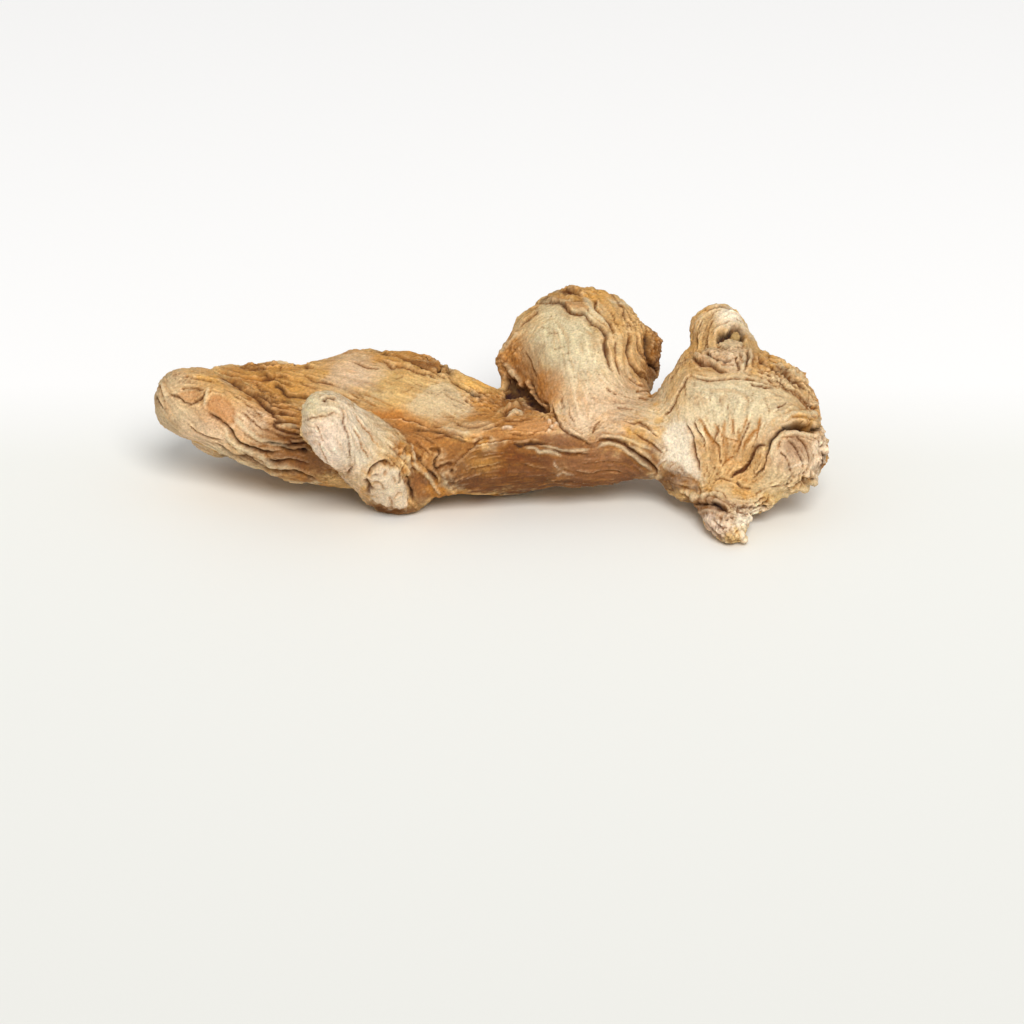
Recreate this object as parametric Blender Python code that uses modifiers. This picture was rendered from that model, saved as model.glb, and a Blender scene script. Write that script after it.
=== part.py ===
"""A dried ginger root: one whole hand of rhizome, lying on its underside.

Run it with blender --background --python part.py, or from Blender's text editor.
Metres, +Z up, -Y towards the front. The origin is the middle of the root's box, on the
surface that it lies on.

The root is grown as chains of overlapping balls: a broad flat body on the left, a neck that
runs right along its front, and five lobes that leave them. One voxel skin joins the balls,
is smoothed and crumpled as drying does, and is worn flat where the root touches the surface.

An aim is a pair of angles in degrees: the heading, from +X towards +Y, and the climb above
the surface. A shift is a move along X, Y and Z.
"""

import math

import bmesh
import bpy
from mathutils import Euler, Matrix, Vector

MM = 0.001

# The body: the broad flat segment on the left. Its middle rests on the surface.
BODY_DEPTH = 28 * MM
BODY_HEIGHT = 20.6 * MM
BODY_LEFT_REACH = 27.5 * MM
BODY_LEFT_DEPTH = 17 * MM
BODY_LEFT_HEIGHT = 15 * MM
BODY_LEFT_AIM = (176, 1)
WAIST_REACH = 21.5 * MM
WAIST_DEPTH = 17 * MM
WAIST_HEIGHT = 13 * MM
WAIST_AIM = (-20, -7)

# The neck: the round bar along the front, from the short finger's foot to the right knob.
NECK_LENGTH = 48 * MM
NECK_DIAMETER = 12.8 * MM
NECK_AIM = (5, 3)
NECK_FROM_FOOT = 5.4 * MM
NECK_RISE = 2.8 * MM

# The long finger: it leaves the body's front, bends, and points left and up.
LONG_FINGER_ROOT_LENGTH = 11.4 * MM
LONG_FINGER_ROOT_AIM = (182, 4)
LONG_FINGER_TIP_LENGTH = 18.5 * MM
LONG_FINGER_TIP_AIM = (164, 16)
LONG_FINGER_DIAMETER = 12.6 * MM
LONG_FINGER_TIP_DIAMETER = 12 * MM
LONG_FINGER_FROM_MIDDLE = 5 * MM
LONG_FINGER_SUNK = 3 * MM

# The short finger: its foot stands on the surface, and it leans left, forward and up.
SHORT_FINGER_LENGTH = 21 * MM
SHORT_FINGER_AIM = (227, 44)
SHORT_FINGER_DIAMETER = 9.6 * MM
SHORT_FINGER_FOOT_DIAMETER = 12.6 * MM

# The bell: the flat middle knob, which a stem carries up and back from the neck.
BELL_PLACE_ON_NECK = 0.55
BELL_REACH = 20 * MM
BELL_AIM = (95, 21)
BELL_WIDTH = 24.6 * MM
BELL_TALL = 26 * MM
BELL_THICKNESS = 16 * MM
BELL_LEAN = 45
STEM_DIAMETER = 17 * MM
STEM_SHIFT = Vector((0, 5, 2)) * MM
BELL_CORNER_DIAMETER = 7.5 * MM
BELL_CORNER_DROP = 3.6 * MM
BELL_CORNER_OUT = 0.8 * MM

# The right knob at the neck's end, and the lumps on it.
KNOB_WIDTH = 27.5 * MM
KNOB_DEPTH = 25 * MM
KNOB_HEIGHT = 23.5 * MM
KNOB_PAST_NECK = 1 * MM
KNOB_BEHIND_NECK = 2 * MM
KNOB_LIFT = 1 * MM
LOBE_DIAMETER = 15.4 * MM
LOBE_SHIFT = Vector((7, -8, -2)) * MM
SHOULDER_DIAMETER = 9.5 * MM
SHOULDER_SHIFT = Vector((-5, 8, 5)) * MM
SKIRT_DIAMETER = 11.5 * MM
SKIRT_SHIFT = Vector((-6, -7, -6)) * MM
TOE_DIAMETER = 7 * MM
TOE_SHIFT = Vector((-3.5, -4, -5.5)) * MM

# The bud on the right knob's top, with its hooked tip.
BUD_ROOT_DIAMETER = 12 * MM
BUD_DIAMETER = 8.6 * MM
BUD_LENGTH = 7.7 * MM
BUD_SUNK = 1.3 * MM
BUD_ROOT_AIM = (95, 30)
BUD_TIP_AIM = (100, 35)
HOOK_DIAMETER = 6 * MM
HOOK_SHIFT = Vector((2, -0.9, -1.3)) * MM

# The nub: the thin foot in front that the right knob stands on.
NUB_ROOT_DIAMETER = 10.8 * MM
NUB_DIAMETER = 6.2 * MM
NUB_REACH = 7.5 * MM
NUB_SUNK = 3.5 * MM
NUB_ROOT_SIDE = -3 * MM
NUB_ROOT_DROP = 7 * MM
NUB_TIP_SIDE = -0.9 * MM

# The heel: the stub behind and below the bell that stops the root rolling back.
HEEL_DIAMETER = 13 * MM
HEEL_FOOT_SHIFT = Vector((-1, -2, 0)) * MM
HEEL_TOP_SHIFT = Vector((0, -6, -6)) * MM

# How much of each foot is worn flat, and how the skin is made.
FOOT_WEAR = 0.8 * MM
BALL_STEPS = 20
BALL_SPACING = 2.5 * MM
VOXEL = 0.9 * MM
SMOOTH_FACTOR = 0.5
SMOOTH_STEPS = 7
CRUMPLE_SIZE = 7 * MM
CRUMPLE_DEPTH = 1.6 * MM
WRINKLE_SIZE = 2.6 * MM
WRINKLE_DEPTH = 0.9 * MM
TRIANGLES = 7000

SKIN_COLOUR = (0.56, 0.36, 0.19, 1)
SKIN_ROUGHNESS = 0.85


def step(start, length, aim):
    """The point this length away from start, along an aim."""
    heading = math.radians(aim[0])
    climb = math.radians(aim[1])
    flat = math.cos(climb)
    return start + length * Vector((flat * math.cos(heading), flat * math.sin(heading), math.sin(climb)))


def standing(point, height):
    """The same point, at the height where a ball this tall is worn flat by FOOT_WEAR."""
    return Vector((point.x, point.y, height / 2 - FOOT_WEAR))


def ball(middle, width, depth=None, height=None, lean=0.0):
    """One ball of a chain. lean tips its top towards the back, in degrees."""
    return (middle, Vector((width, depth or width, height or width)), lean)


def chain(first, last):
    """Balls from first to last, about BALL_SPACING apart, with both among them."""
    gaps = max(1, round((last[0] - first[0]).length / BALL_SPACING))
    balls = []
    for i in range(gaps + 1):
        share = i / gaps
        balls.append(tuple(a + (b - a) * share for a, b in zip(first, last)))
    return balls


def body(middle):
    """The broad segment, from its left end to the waist."""
    core = ball(middle, BODY_DEPTH, BODY_DEPTH, BODY_HEIGHT)
    left = step(middle, BODY_LEFT_REACH, BODY_LEFT_AIM)
    left_end = ball(left, BODY_LEFT_DEPTH, BODY_LEFT_DEPTH, BODY_LEFT_HEIGHT)
    waist = step(middle, WAIST_REACH, WAIST_AIM)
    waist_end = ball(waist, WAIST_DEPTH, WAIST_DEPTH, WAIST_HEIGHT)
    return chain(core, left_end) + chain(core, waist_end)


def long_finger(middle):
    """A bent finger: nearly level at its root, then rising to a blunt tip."""
    in_front = LONG_FINGER_SUNK - BODY_DEPTH / 2
    root = middle + Vector((-LONG_FINGER_FROM_MIDDLE, in_front, 0))
    bend = step(root, LONG_FINGER_ROOT_LENGTH, LONG_FINGER_ROOT_AIM)
    tip = step(bend, LONG_FINGER_TIP_LENGTH, LONG_FINGER_TIP_AIM)
    elbow = ball(bend, LONG_FINGER_DIAMETER)
    end = ball(tip, LONG_FINGER_TIP_DIAMETER)
    return chain(ball(root, LONG_FINGER_DIAMETER), elbow) + chain(elbow, end)


def short_finger(foot):
    tip = step(foot, SHORT_FINGER_LENGTH, SHORT_FINGER_AIM)
    return chain(ball(foot, SHORT_FINGER_FOOT_DIAMETER), ball(tip, SHORT_FINGER_DIAMETER))


def bell(root, top):
    """The flat middle knob on its stem, with the corner that hangs at its left."""
    stem = ball(root + STEM_SHIFT, STEM_DIAMETER)
    head = ball(top, BELL_WIDTH, BELL_THICKNESS, BELL_TALL, BELL_LEAN)
    beside = (BELL_CORNER_DIAMETER - BELL_WIDTH) / 2 - BELL_CORNER_OUT
    corner = top + Vector((beside, -BELL_CORNER_DROP, -BELL_CORNER_DROP))
    return [*chain(stem, head), ball(corner, BELL_CORNER_DIAMETER)]


def heel(bell_top):
    """A short stub from the bell's underside down to the surface."""
    foot = standing(bell_top + HEEL_FOOT_SHIFT, HEEL_DIAMETER)
    return chain(ball(foot, HEEL_DIAMETER), ball(bell_top + HEEL_TOP_SHIFT, HEEL_DIAMETER))


def bud(knob_middle):
    """The small shoot on the right knob's top and back, hooked to the right."""
    root = step(knob_middle, KNOB_DEPTH / 2 - BUD_SUNK, BUD_ROOT_AIM)
    tip = step(root, BUD_LENGTH, BUD_TIP_AIM)
    hook = ball(tip + HOOK_SHIFT, HOOK_DIAMETER)
    return [*chain(ball(root, BUD_ROOT_DIAMETER), ball(tip, BUD_DIAMETER)), hook]


def nub(knob_middle):
    """The thin foot that reaches forward and down from the right knob."""
    inside = knob_middle + Vector((NUB_ROOT_SIDE, NUB_SUNK - KNOB_DEPTH / 2, -NUB_ROOT_DROP))
    tip = standing(knob_middle + Vector((NUB_TIP_SIDE, -KNOB_DEPTH / 2 - NUB_REACH, 0)), NUB_DIAMETER)
    return chain(ball(inside, NUB_ROOT_DIAMETER), ball(tip, NUB_DIAMETER))


def knob(neck_end):
    """The right knob with its lower lobe and toe, shoulder, skirt, bud and nub."""
    lift = KNOB_HEIGHT / 2 + KNOB_LIFT
    middle = Vector((neck_end.x + KNOB_PAST_NECK, neck_end.y + KNOB_BEHIND_NECK, lift))
    lobe = middle + LOBE_SHIFT
    lumps = [
        ball(middle, KNOB_WIDTH, KNOB_DEPTH, KNOB_HEIGHT),
        ball(lobe, LOBE_DIAMETER),
        ball(lobe + TOE_SHIFT, TOE_DIAMETER),
        ball(middle + SHOULDER_SHIFT, SHOULDER_DIAMETER),
        ball(middle + SKIRT_SHIFT, SKIRT_DIAMETER),
    ]
    return lumps + bud(middle) + nub(middle)


def whole_root():
    """Every ball of the root. The body's middle is at X = Y = 0."""
    middle = standing(Vector((0, 0, 0)), BODY_HEIGHT)
    foot = standing(Vector((0, -BODY_DEPTH / 2, 0)), SHORT_FINGER_FOOT_DIAMETER)
    neck_start = foot + Vector((NECK_FROM_FOOT, 0, NECK_RISE))
    neck_end = step(neck_start, NECK_LENGTH, NECK_AIM)
    bell_root = step(neck_start, BELL_PLACE_ON_NECK * NECK_LENGTH, NECK_AIM)
    bell_top = step(bell_root, BELL_REACH, BELL_AIM)
    neck = chain(ball(neck_start, NECK_DIAMETER), ball(neck_end, NECK_DIAMETER))
    fingers = long_finger(middle) + short_finger(foot)
    return body(middle) + fingers + neck + bell(bell_root, bell_top) + heel(bell_top) + knob(neck_end)


def clear_scene():
    for obj in list(bpy.data.objects):
        bpy.data.objects.remove(obj)


def new_collection(name):
    made = bpy.data.collections.new(name)
    bpy.context.scene.collection.children.link(made)
    return made


def ball_mesh(name, balls):
    """Every ball as a closed sphere in one mesh, which the voxel skin then joins."""
    mesh = bmesh.new()
    for middle, size, lean in balls:
        turn = Euler((math.radians(-lean), 0, 0)).to_matrix().to_4x4()
        place = Matrix.Translation(middle) @ turn @ Matrix.Diagonal((*(size / 2), 1))
        bmesh.ops.create_uvsphere(
            mesh, u_segments=BALL_STEPS, v_segments=BALL_STEPS // 2, radius=1, matrix=place
        )
    data = bpy.data.meshes.new(name)
    mesh.to_mesh(data)
    mesh.free()
    return data


def add_crumple(root, name, size, depth):
    """Lumps of this size, half of the depth out and half in."""
    texture = bpy.data.textures.new(name, "CLOUDS")
    texture.noise_scale = size
    texture.noise_depth = 1
    crumple = root.modifiers.new(name, "DISPLACE")
    crumple.texture = texture
    crumple.texture_coords = "LOCAL"
    crumple.strength = depth
    crumple.mid_level = 0.5


def apply_modifiers(root):
    """Replaces the root's mesh by the one that its modifiers make."""
    graph = bpy.context.evaluated_depsgraph_get()
    made = bpy.data.meshes.new_from_object(root.evaluated_get(graph))
    root.modifiers.clear()
    root.data = made


def skin(root):
    """One closed skin over the balls, smoothed, crumpled and thinned to about TRIANGLES."""
    voxels = root.modifiers.new("skin", "REMESH")
    voxels.mode = "VOXEL"
    voxels.voxel_size = VOXEL
    smooth = root.modifiers.new("smooth", "SMOOTH")
    smooth.factor = SMOOTH_FACTOR
    smooth.iterations = SMOOTH_STEPS
    add_crumple(root, "crumple", CRUMPLE_SIZE, CRUMPLE_DEPTH)
    add_crumple(root, "wrinkle", WRINKLE_SIZE, WRINKLE_DEPTH)
    apply_modifiers(root)
    root.data.calc_loop_triangles()
    thin = root.modifiers.new("thin", "DECIMATE")
    thin.ratio = min(1.0, TRIANGLES / len(root.data.loop_triangles))
    apply_modifiers(root)


def wear_feet(root):
    """Cuts the feet flat at the surface, which leaves one level patch under each."""
    mesh = bmesh.new()
    mesh.from_mesh(root.data)
    geometry = mesh.verts[:] + mesh.edges[:] + mesh.faces[:]
    cut = bmesh.ops.bisect_plane(
        mesh, geom=geometry, dist=1e-6, plane_co=(0, 0, 0), plane_no=(0, 0, -1), clear_outer=True
    )
    rim = [item for item in cut["geom_cut"] if isinstance(item, bmesh.types.BMEdge)]
    bmesh.ops.holes_fill(mesh, edges=rim, sides=0)
    bmesh.ops.triangulate(mesh, faces=mesh.faces[:])
    bmesh.ops.recalc_face_normals(mesh, faces=mesh.faces[:])
    mesh.to_mesh(root.data)
    mesh.free()


def centre(root):
    """Puts the origin at the middle of the box, on the surface."""
    xs = [vertex.co.x for vertex in root.data.vertices]
    ys = [vertex.co.y for vertex in root.data.vertices]
    middle = Vector(((min(xs) + max(xs)) / 2, (min(ys) + max(ys)) / 2, 0))
    root.data.transform(Matrix.Translation(-middle))


def dried_skin():
    material = bpy.data.materials.new("dried_skin")
    material.use_nodes = True
    shader = material.node_tree.nodes["Principled BSDF"]
    shader.inputs["Base Color"].default_value = SKIN_COLOUR
    shader.inputs["Roughness"].default_value = SKIN_ROUGHNESS
    shader.inputs["Metallic"].default_value = 0.0
    return material


def main():
    clear_scene()
    parts = new_collection("dried_ginger_root")
    root = bpy.data.objects.new("dried_ginger_root", ball_mesh("dried_ginger_root", whole_root()))
    parts.objects.link(root)
    skin(root)
    wear_feet(root)
    centre(root)
    root.data.materials.append(dried_skin())
    root.data.shade_smooth()


main()
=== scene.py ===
"""Looks of a dried ginger root: the skin is sculpted and coloured on a copy of the CAD body.

All the sculpting is done on plain arrays, in millimetres, on a finely remeshed copy of the body.
Marks that have a place of their own are drawn on a front chart: a flat sheet held square to the
front line of sight, with u to the right and v up, both in millimetres at the middle of the root.
A mark reaches the skin that faces the chart. The rest of the skin gets wrinkles that follow the
grain of each lobe, so the back and the underside carry the same kind of detail.
"""

import math

import bpy
import numpy as np
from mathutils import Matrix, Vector
from mathutils.bvhtree import BVHTree


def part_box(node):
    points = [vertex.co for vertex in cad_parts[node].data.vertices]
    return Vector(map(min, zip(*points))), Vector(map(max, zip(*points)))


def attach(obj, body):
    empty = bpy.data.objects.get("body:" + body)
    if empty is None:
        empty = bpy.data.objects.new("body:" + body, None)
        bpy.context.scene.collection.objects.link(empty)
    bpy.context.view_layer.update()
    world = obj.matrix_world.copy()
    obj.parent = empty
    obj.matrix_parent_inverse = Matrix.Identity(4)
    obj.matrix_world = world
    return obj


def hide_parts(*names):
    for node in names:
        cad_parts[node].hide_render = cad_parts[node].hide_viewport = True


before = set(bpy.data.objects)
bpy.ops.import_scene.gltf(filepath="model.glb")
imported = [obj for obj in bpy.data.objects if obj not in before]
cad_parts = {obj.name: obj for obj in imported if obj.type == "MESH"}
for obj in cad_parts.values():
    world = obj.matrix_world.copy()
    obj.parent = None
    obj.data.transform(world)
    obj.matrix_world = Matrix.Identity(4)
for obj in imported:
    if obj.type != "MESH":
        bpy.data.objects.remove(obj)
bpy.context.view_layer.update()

NODE = "dried_ginger_root"
MM = 0.001

# Where the front chart and the camera stand, relative to the middle of the root's foot print.
LOOK_AT = np.array([3.76, -1.51, -3.39])
VIEW_DISTANCE = 650.0
VIEW_ELEVATION = math.radians(24.0)
CHART_MIDDLE = np.array([3.494, 5.363])  # the chart's (u, v) at LOOK_AT
SENSOR_MM = 36.0
FRAME_WIDTH_MM = 166.4  # what the picture's width takes in at LOOK_AT

# Mesh fineness, in millimetres.
WELD_GAP = 0.01
COARSE_VOXEL = 0.5
FINE_VOXEL = 0.25
FACET_ROUNDS = 14  # rounds of smoothing that take the CAD body's facets away
STEP_ROUNDS = 3  # rounds that take the fine voxels' steps away
FOOT_FADE = 1.0  # the sculpting fades out over this height, so that the feet stay flat

# How the chart's rays tell what is hidden, in millimetres, and how much the skin may turn away.
RAY_START = 0.6
RAY_LIFT = 0.2
RAY_REACH = 120.0
GRAZING = -0.1

NOISE_CELLS = 64
GRAIN_CELL = 1.0  # spacing of the grid that holds the grain's direction
GRAIN_MARGIN = 3.0  # how far that grid reaches past the skin
DRAWN_REACH = 4.0  # how far from its box a drawn line bends the grain

# The root's lobes: the points of an axis, the radius, and with them the way the wrinkles run.
LOBES = {
    "body": ([(-42.2, 8.5, 10.0), (-14.7, 6.6, 9.5), (5.3, -0.7, 6.9)], 10.0),
    "long_finger": ([(-19.7, -4.4, 9.5), (-31.1, -4.8, 10.3), (-48.2, 0.1, 15.4)], 6.2),
    "short_finger": ([(-14.7, -7.4, 5.5), (-25.0, -18.5, 20.1)], 5.5),
    "neck": ([(-9.3, -7.4, 8.3), (38.4, -3.2, 10.8)], 6.4),
    "bell": ([(16.9, -5.1, 9.7), (15.3, 13.5, 16.8)], 11.0),
    "knob": ([(39.4, -6.0, 3.4), (40.0, 3.0, 21.0)], 12.5),
    "side_lobe": ([(46.4, -9.2, 6.0), (46.4, -7.0, 15.0)], 7.5),
    "bud": ([(38.6, 8.4, 18.0), (37.5, 14.6, 22.4)], 4.3),
    "nub": ([(36.4, -10.2, 5.3), (38.5, -21.2, 2.3)], 3.5),
}

# Which skin a mark may reach. The finger in front of the body has marks of its own.
FINGER = "short_finger"
REST = "all but the short finger"
ANY = "any lobe"

# The skin's colours, as they look on screen.
PALETTE = {
    "cream": (221, 203, 165),
    "white": (238, 222, 195),
    "greenish": (214, 198, 158),
    "beige": (211, 186, 145),
    "straw": (207, 171, 112),
    "umber_tan": (160, 108, 60),
    "dusty": (196, 170, 133),
    "pink": (214, 184, 150),
    "lavender": (232, 209, 187),
    "salmon": (197, 141, 92),
    "tan": (205, 164, 108),
    "gold": (206, 154, 82),
    "bright_gold": (231, 177, 92),
    "ochre": (178, 118, 52),
    "orange": (181, 118, 56),
    "brown": (102, 57, 22),
    "purple_brown": (128, 84, 54),
    "umber": (80, 44, 18),
    # dark is painted shade, laid into the deepest creases, pits and hollows
    "dark": (36, 18, 8),
}
SCREEN_GAMMA = 2.2

# Blotches over tan, where no wash says otherwise: tint, where the noise starts it, size, seed.
BLOTCHES = (
    ("straw", 0.1, 7.0, 41),
    ("gold", 0.2, 5.0, 42),
    ("ochre", 0.35, 6.0, 43),
    ("beige", 0.2, 4.0, 44),
)
BLOTCH_EDGE = 0.35
WASH_HALF = 0.12  # the weight of wash that covers half of the skin's own colour
CALM_HALF = 0.08  # and the weight that takes half of the wrinkles away
WARM_SHADE = (0.80, 0.62, 0.42)  # what is left of the light at the bottom of a dell

# Painted shade in the hollows: tint, strength, and the depths where it starts and is complete.
PAINTED_HOLLOW_SHADE = (("ochre", 0.5, 0.02, 0.12), ("brown", 0.8, 0.06, 0.2), ("umber", 0.8, 0.14, 0.34))

# Noise combed along the grain: its size across the grain, its length along it, and its seed.
BROAD = (2.4, 20.0, 101)
MIDDLE = (0.85, 9.0, 102)
FINE = (0.42, 5.0, 103)
VEINS = (1.1, 12.0, 109)
GRIT = (0.3, 1.6, 107)

# How high or deep each kind of relief is, in millimetres.
FOLD_HEIGHT = 0.5
CREASE_HEIGHT = 0.2
SWELL_HEIGHT = 0.3
FIBRE_HEIGHT = 0.09
SCALE_HEIGHT = 1.6
CRACK_DEPTH = 0.1
GRIT_HEIGHT = 0.028


def linear(name):
    """A palette colour as linear light."""
    return (np.array(PALETTE[name]) / 255.0) ** SCREEN_GAMMA


def smoothstep(low, high, values):
    t = np.clip((values - low) / (high - low), 0.0, 1.0)
    return t * t * (3.0 - 2.0 * t)


def unit(vectors):
    return vectors / np.maximum(np.linalg.norm(vectors, axis=-1, keepdims=True), 1e-9)


# ---------------------------------------------------------------- noise


def noise(points, size, seed):
    """Smooth random values from -1 to 1 that change over `size` mm."""
    random = np.random.default_rng(seed)
    lattice = random.uniform(-1.0, 1.0, (NOISE_CELLS,) * 3)
    turn = np.linalg.qr(random.normal(size=(3, 3)))[0]
    place = points @ turn / size
    corner = np.floor(place)
    share = place - corner
    share = share * share * (3.0 - 2.0 * share)
    corner = corner.astype(np.int64)
    total = np.zeros(len(points))
    for dx in (0, 1):
        for dy in (0, 1):
            for dz in (0, 1):
                offset = np.array([dx, dy, dz])
                weight = np.where(offset, share, 1.0 - share).prod(axis=1)
                cell = (corner + offset) & (NOISE_CELLS - 1)
                total += weight * lattice[cell[:, 0], cell[:, 1], cell[:, 2]]
    return total


def wandering(points, seed):
    """A small sideways drift for each point, so that no drawn line is perfectly smooth."""
    drift = np.stack([noise(points, 2.2, seed + k) for k in range(2)], axis=1) * 0.26
    drift += np.stack([noise(points, 0.7, seed + 5 + k) for k in range(2)], axis=1) * 0.13
    return drift


# ---------------------------------------------------------------- mesh helpers


def evaluated_copy(obj):
    """Replaces an object's mesh by what its modifiers make of it."""
    graph = bpy.context.evaluated_depsgraph_get()
    mesh = bpy.data.meshes.new_from_object(obj.evaluated_get(graph))
    obj.modifiers.clear()
    obj.data = mesh


def remesh(obj, voxel_mm):
    modifier = obj.modifiers.new("remesh", "REMESH")
    modifier.mode = "VOXEL"
    modifier.voxel_size = voxel_mm * MM
    evaluated_copy(obj)


def copy_of_body():
    """The CAD body's mesh as an object of its own, with its split corners joined."""
    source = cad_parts[NODE]
    obj = bpy.data.objects.new("ginger_root", source.data.copy())
    obj.data.materials.clear()
    bpy.context.scene.collection.objects.link(obj)
    weld = obj.modifiers.new("weld", "WELD")
    weld.merge_threshold = WELD_GAP * MM
    evaluated_copy(obj)
    return obj


class Surface:
    """The arrays of one mesh, in millimetres."""

    def __init__(self, obj, rounds):
        """Reads the mesh and smooths it that many times."""
        self.obj = obj
        mesh = obj.data
        self.count = len(mesh.vertices)
        self.co = np.empty(self.count * 3)
        mesh.vertices.foreach_get("co", self.co)
        self.co = self.co.reshape(-1, 3) / MM
        edges = np.empty(len(mesh.edges) * 2, np.int64)
        mesh.edges.foreach_get("vertices", edges)
        self.edges = edges.reshape(-1, 2)
        self.degree = np.bincount(edges, minlength=self.count)[:, None]
        self.co = self.averaged(self.co, rounds)
        self.refresh()

    def refresh(self):
        """Writes the points to the mesh and reads the new normals."""
        mesh = self.obj.data
        mesh.vertices.foreach_set("co", (self.co * MM).ravel())
        mesh.update()
        self.normals = np.empty(self.count * 3)
        mesh.vertex_normals.foreach_get("vector", self.normals)
        self.normals = self.normals.reshape(-1, 3)

    def averaged(self, values, rounds):
        """Values spread evenly over their neighbours, that many times."""
        flat = values.ndim == 1
        values = values[:, None] if flat else values
        first, second = self.edges[:, 0], self.edges[:, 1]
        for _ in range(rounds):
            total = np.empty_like(values, dtype=float)
            for k in range(values.shape[1]):
                total[:, k] = np.bincount(first, values[second, k], self.count)
                total[:, k] += np.bincount(second, values[first, k], self.count)
            values = 0.5 * values + 0.5 * total / self.degree
        return values[:, 0] if flat else values

    def push(self, height, rounds=0):
        """Moves the skin out by height, along normals that are smoothed that many times."""
        normals = unit(self.averaged(self.normals, rounds)) if rounds else self.normals
        fade = smoothstep(0.0, FOOT_FADE, self.co[:, 2])
        self.co += normals * (height * fade)[:, None]
        self.co[:, 2] = np.maximum(self.co[:, 2], 0.0)
        self.refresh()

    def above(self, mean):
        """How far each point stands out from a smoothed copy of the skin."""
        return ((self.co - mean) * self.normals).sum(axis=1)


# ---------------------------------------------------------------- the front chart

FORWARD = np.array([0.0, math.cos(VIEW_ELEVATION), -math.sin(VIEW_ELEVATION)])
UPWARD = np.array([0.0, math.sin(VIEW_ELEVATION), math.cos(VIEW_ELEVATION)])
RIGHTWARD = np.array([1.0, 0.0, 0.0])


def foot_print_middle():
    low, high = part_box(NODE)
    return np.array([(low.x + high.x) / 2, (low.y + high.y) / 2, low.z]) / MM


EYE = foot_print_middle() + LOOK_AT - FORWARD * VIEW_DISTANCE


def on_chart(points):
    """The (u, v) of each point."""
    offset = points - EYE
    depth = offset @ FORWARD
    across = offset @ RIGHTWARD * VIEW_DISTANCE / depth
    above = offset @ UPWARD * VIEW_DISTANCE / depth
    return np.stack([across, above], axis=1) + CHART_MIDDLE


def off_chart(u, v, y):
    """The point at depth y, behind the middle of the root, that the chart shows at (u, v)."""
    ray = FORWARD * VIEW_DISTANCE + RIGHTWARD * (u - CHART_MIDDLE[0]) + UPWARD * (v - CHART_MIDDLE[1])
    return EYE + ray * ((y + foot_print_middle()[1] - EYE[1]) / ray[1])


def facing_chart(surface):
    """1 where the skin is seen squarely from the chart, 0 where it is turned away or hidden."""
    mesh = surface.obj.data
    tree = BVHTree.FromPolygons(
        [vertex.co / MM for vertex in mesh.vertices],
        [polygon.vertices for polygon in mesh.polygons],
    )
    towards_eye = unit(EYE - surface.co)
    turned = (surface.normals * towards_eye).sum(axis=1)
    seen = np.zeros(surface.count)
    starts = surface.co + towards_eye * RAY_START + surface.normals * RAY_LIFT
    for i in np.flatnonzero(turned > GRAZING):
        hit = tree.ray_cast(Vector(starts[i]), Vector(towards_eye[i]), RAY_REACH)
        seen[i] = hit[0] is None
    seen = surface.averaged(seen, 3)
    return smoothstep(0.3, 0.8, seen) * smoothstep(GRAZING, 0.15, turned)


def curve_through(points, spacing=0.25, closed=False):
    """A smooth line through the points, as closely spaced (u, v) with their directions."""
    points = np.array(points, float)
    if closed:
        points = np.vstack([points[-1], points, points[0], points[1]])
    else:
        before = 2 * points[0] - points[1]
        after = 2 * points[-1] - points[-2]
        points = np.vstack([before, points, after])
    pieces = []
    for a, b, c, d in zip(points[:-3], points[1:-2], points[2:-1], points[3:]):
        count = max(2, int(np.linalg.norm(c - b) / spacing))
        t = np.linspace(0.0, 1.0, count, endpoint=False)[:, None]
        cubic = 2 * b + (c - a) * t + (2 * a - 5 * b + 4 * c - d) * t**2
        pieces.append(0.5 * (cubic + (3 * b - a - 3 * c + d) * t**3))
    if not closed:
        pieces.append(points[-2:-1])
    line = np.vstack(pieces)
    return line, unit(np.gradient(line, axis=0))


def points_near(line, reach, chart, seen, least):
    """Which points are within reach of the line's box on the chart, and more than `least` seen."""
    low, high = line.min(axis=0) - reach, line.max(axis=0) + reach
    return np.flatnonzero(((chart > low) & (chart < high)).all(axis=1) & (seen > least))


def distance_to(line, direction, spots):
    """For each spot: the distance to the line, the side (+1 left, -1 right), how far along the
    line's nearest point is, from 0 to 1, and the line's direction there."""
    gaps = spots[:, None, :] - line[None, :, :]
    square = (gaps**2).sum(axis=2)
    nearest = square.argmin(axis=1)
    rows = np.arange(len(spots))
    gap = gaps[rows, nearest]
    way = direction[nearest]
    side = np.sign(way[:, 0] * gap[:, 1] - way[:, 1] * gap[:, 0])
    return np.sqrt(square[rows, nearest]), side, nearest / max(1, len(line) - 1), way


LEAST_SEEN = 0.01  # a mark leaves out the points that are seen less than this
PATCH_REACH = 1.0
PIT_LENGTH = 0.1
SHORT_LINE = 0.3  # a line shorter than this doesn't taper at its ends

# How much narrower and lower each kind of mark is made than it is drawn.
SLIMMING = {"furrow": (0.55, 0.8), "ridge": (0.62, 0.6), "frill": (0.62, 0.8), "step": (0.7, 0.7)}

# How far a mark reaches to each side, in widths. A step's upper side slopes away slowly.
REACH = {"furrow": 3.6, "ridge": 3.6, "frill": 3.6, "step": 9.0}


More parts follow.
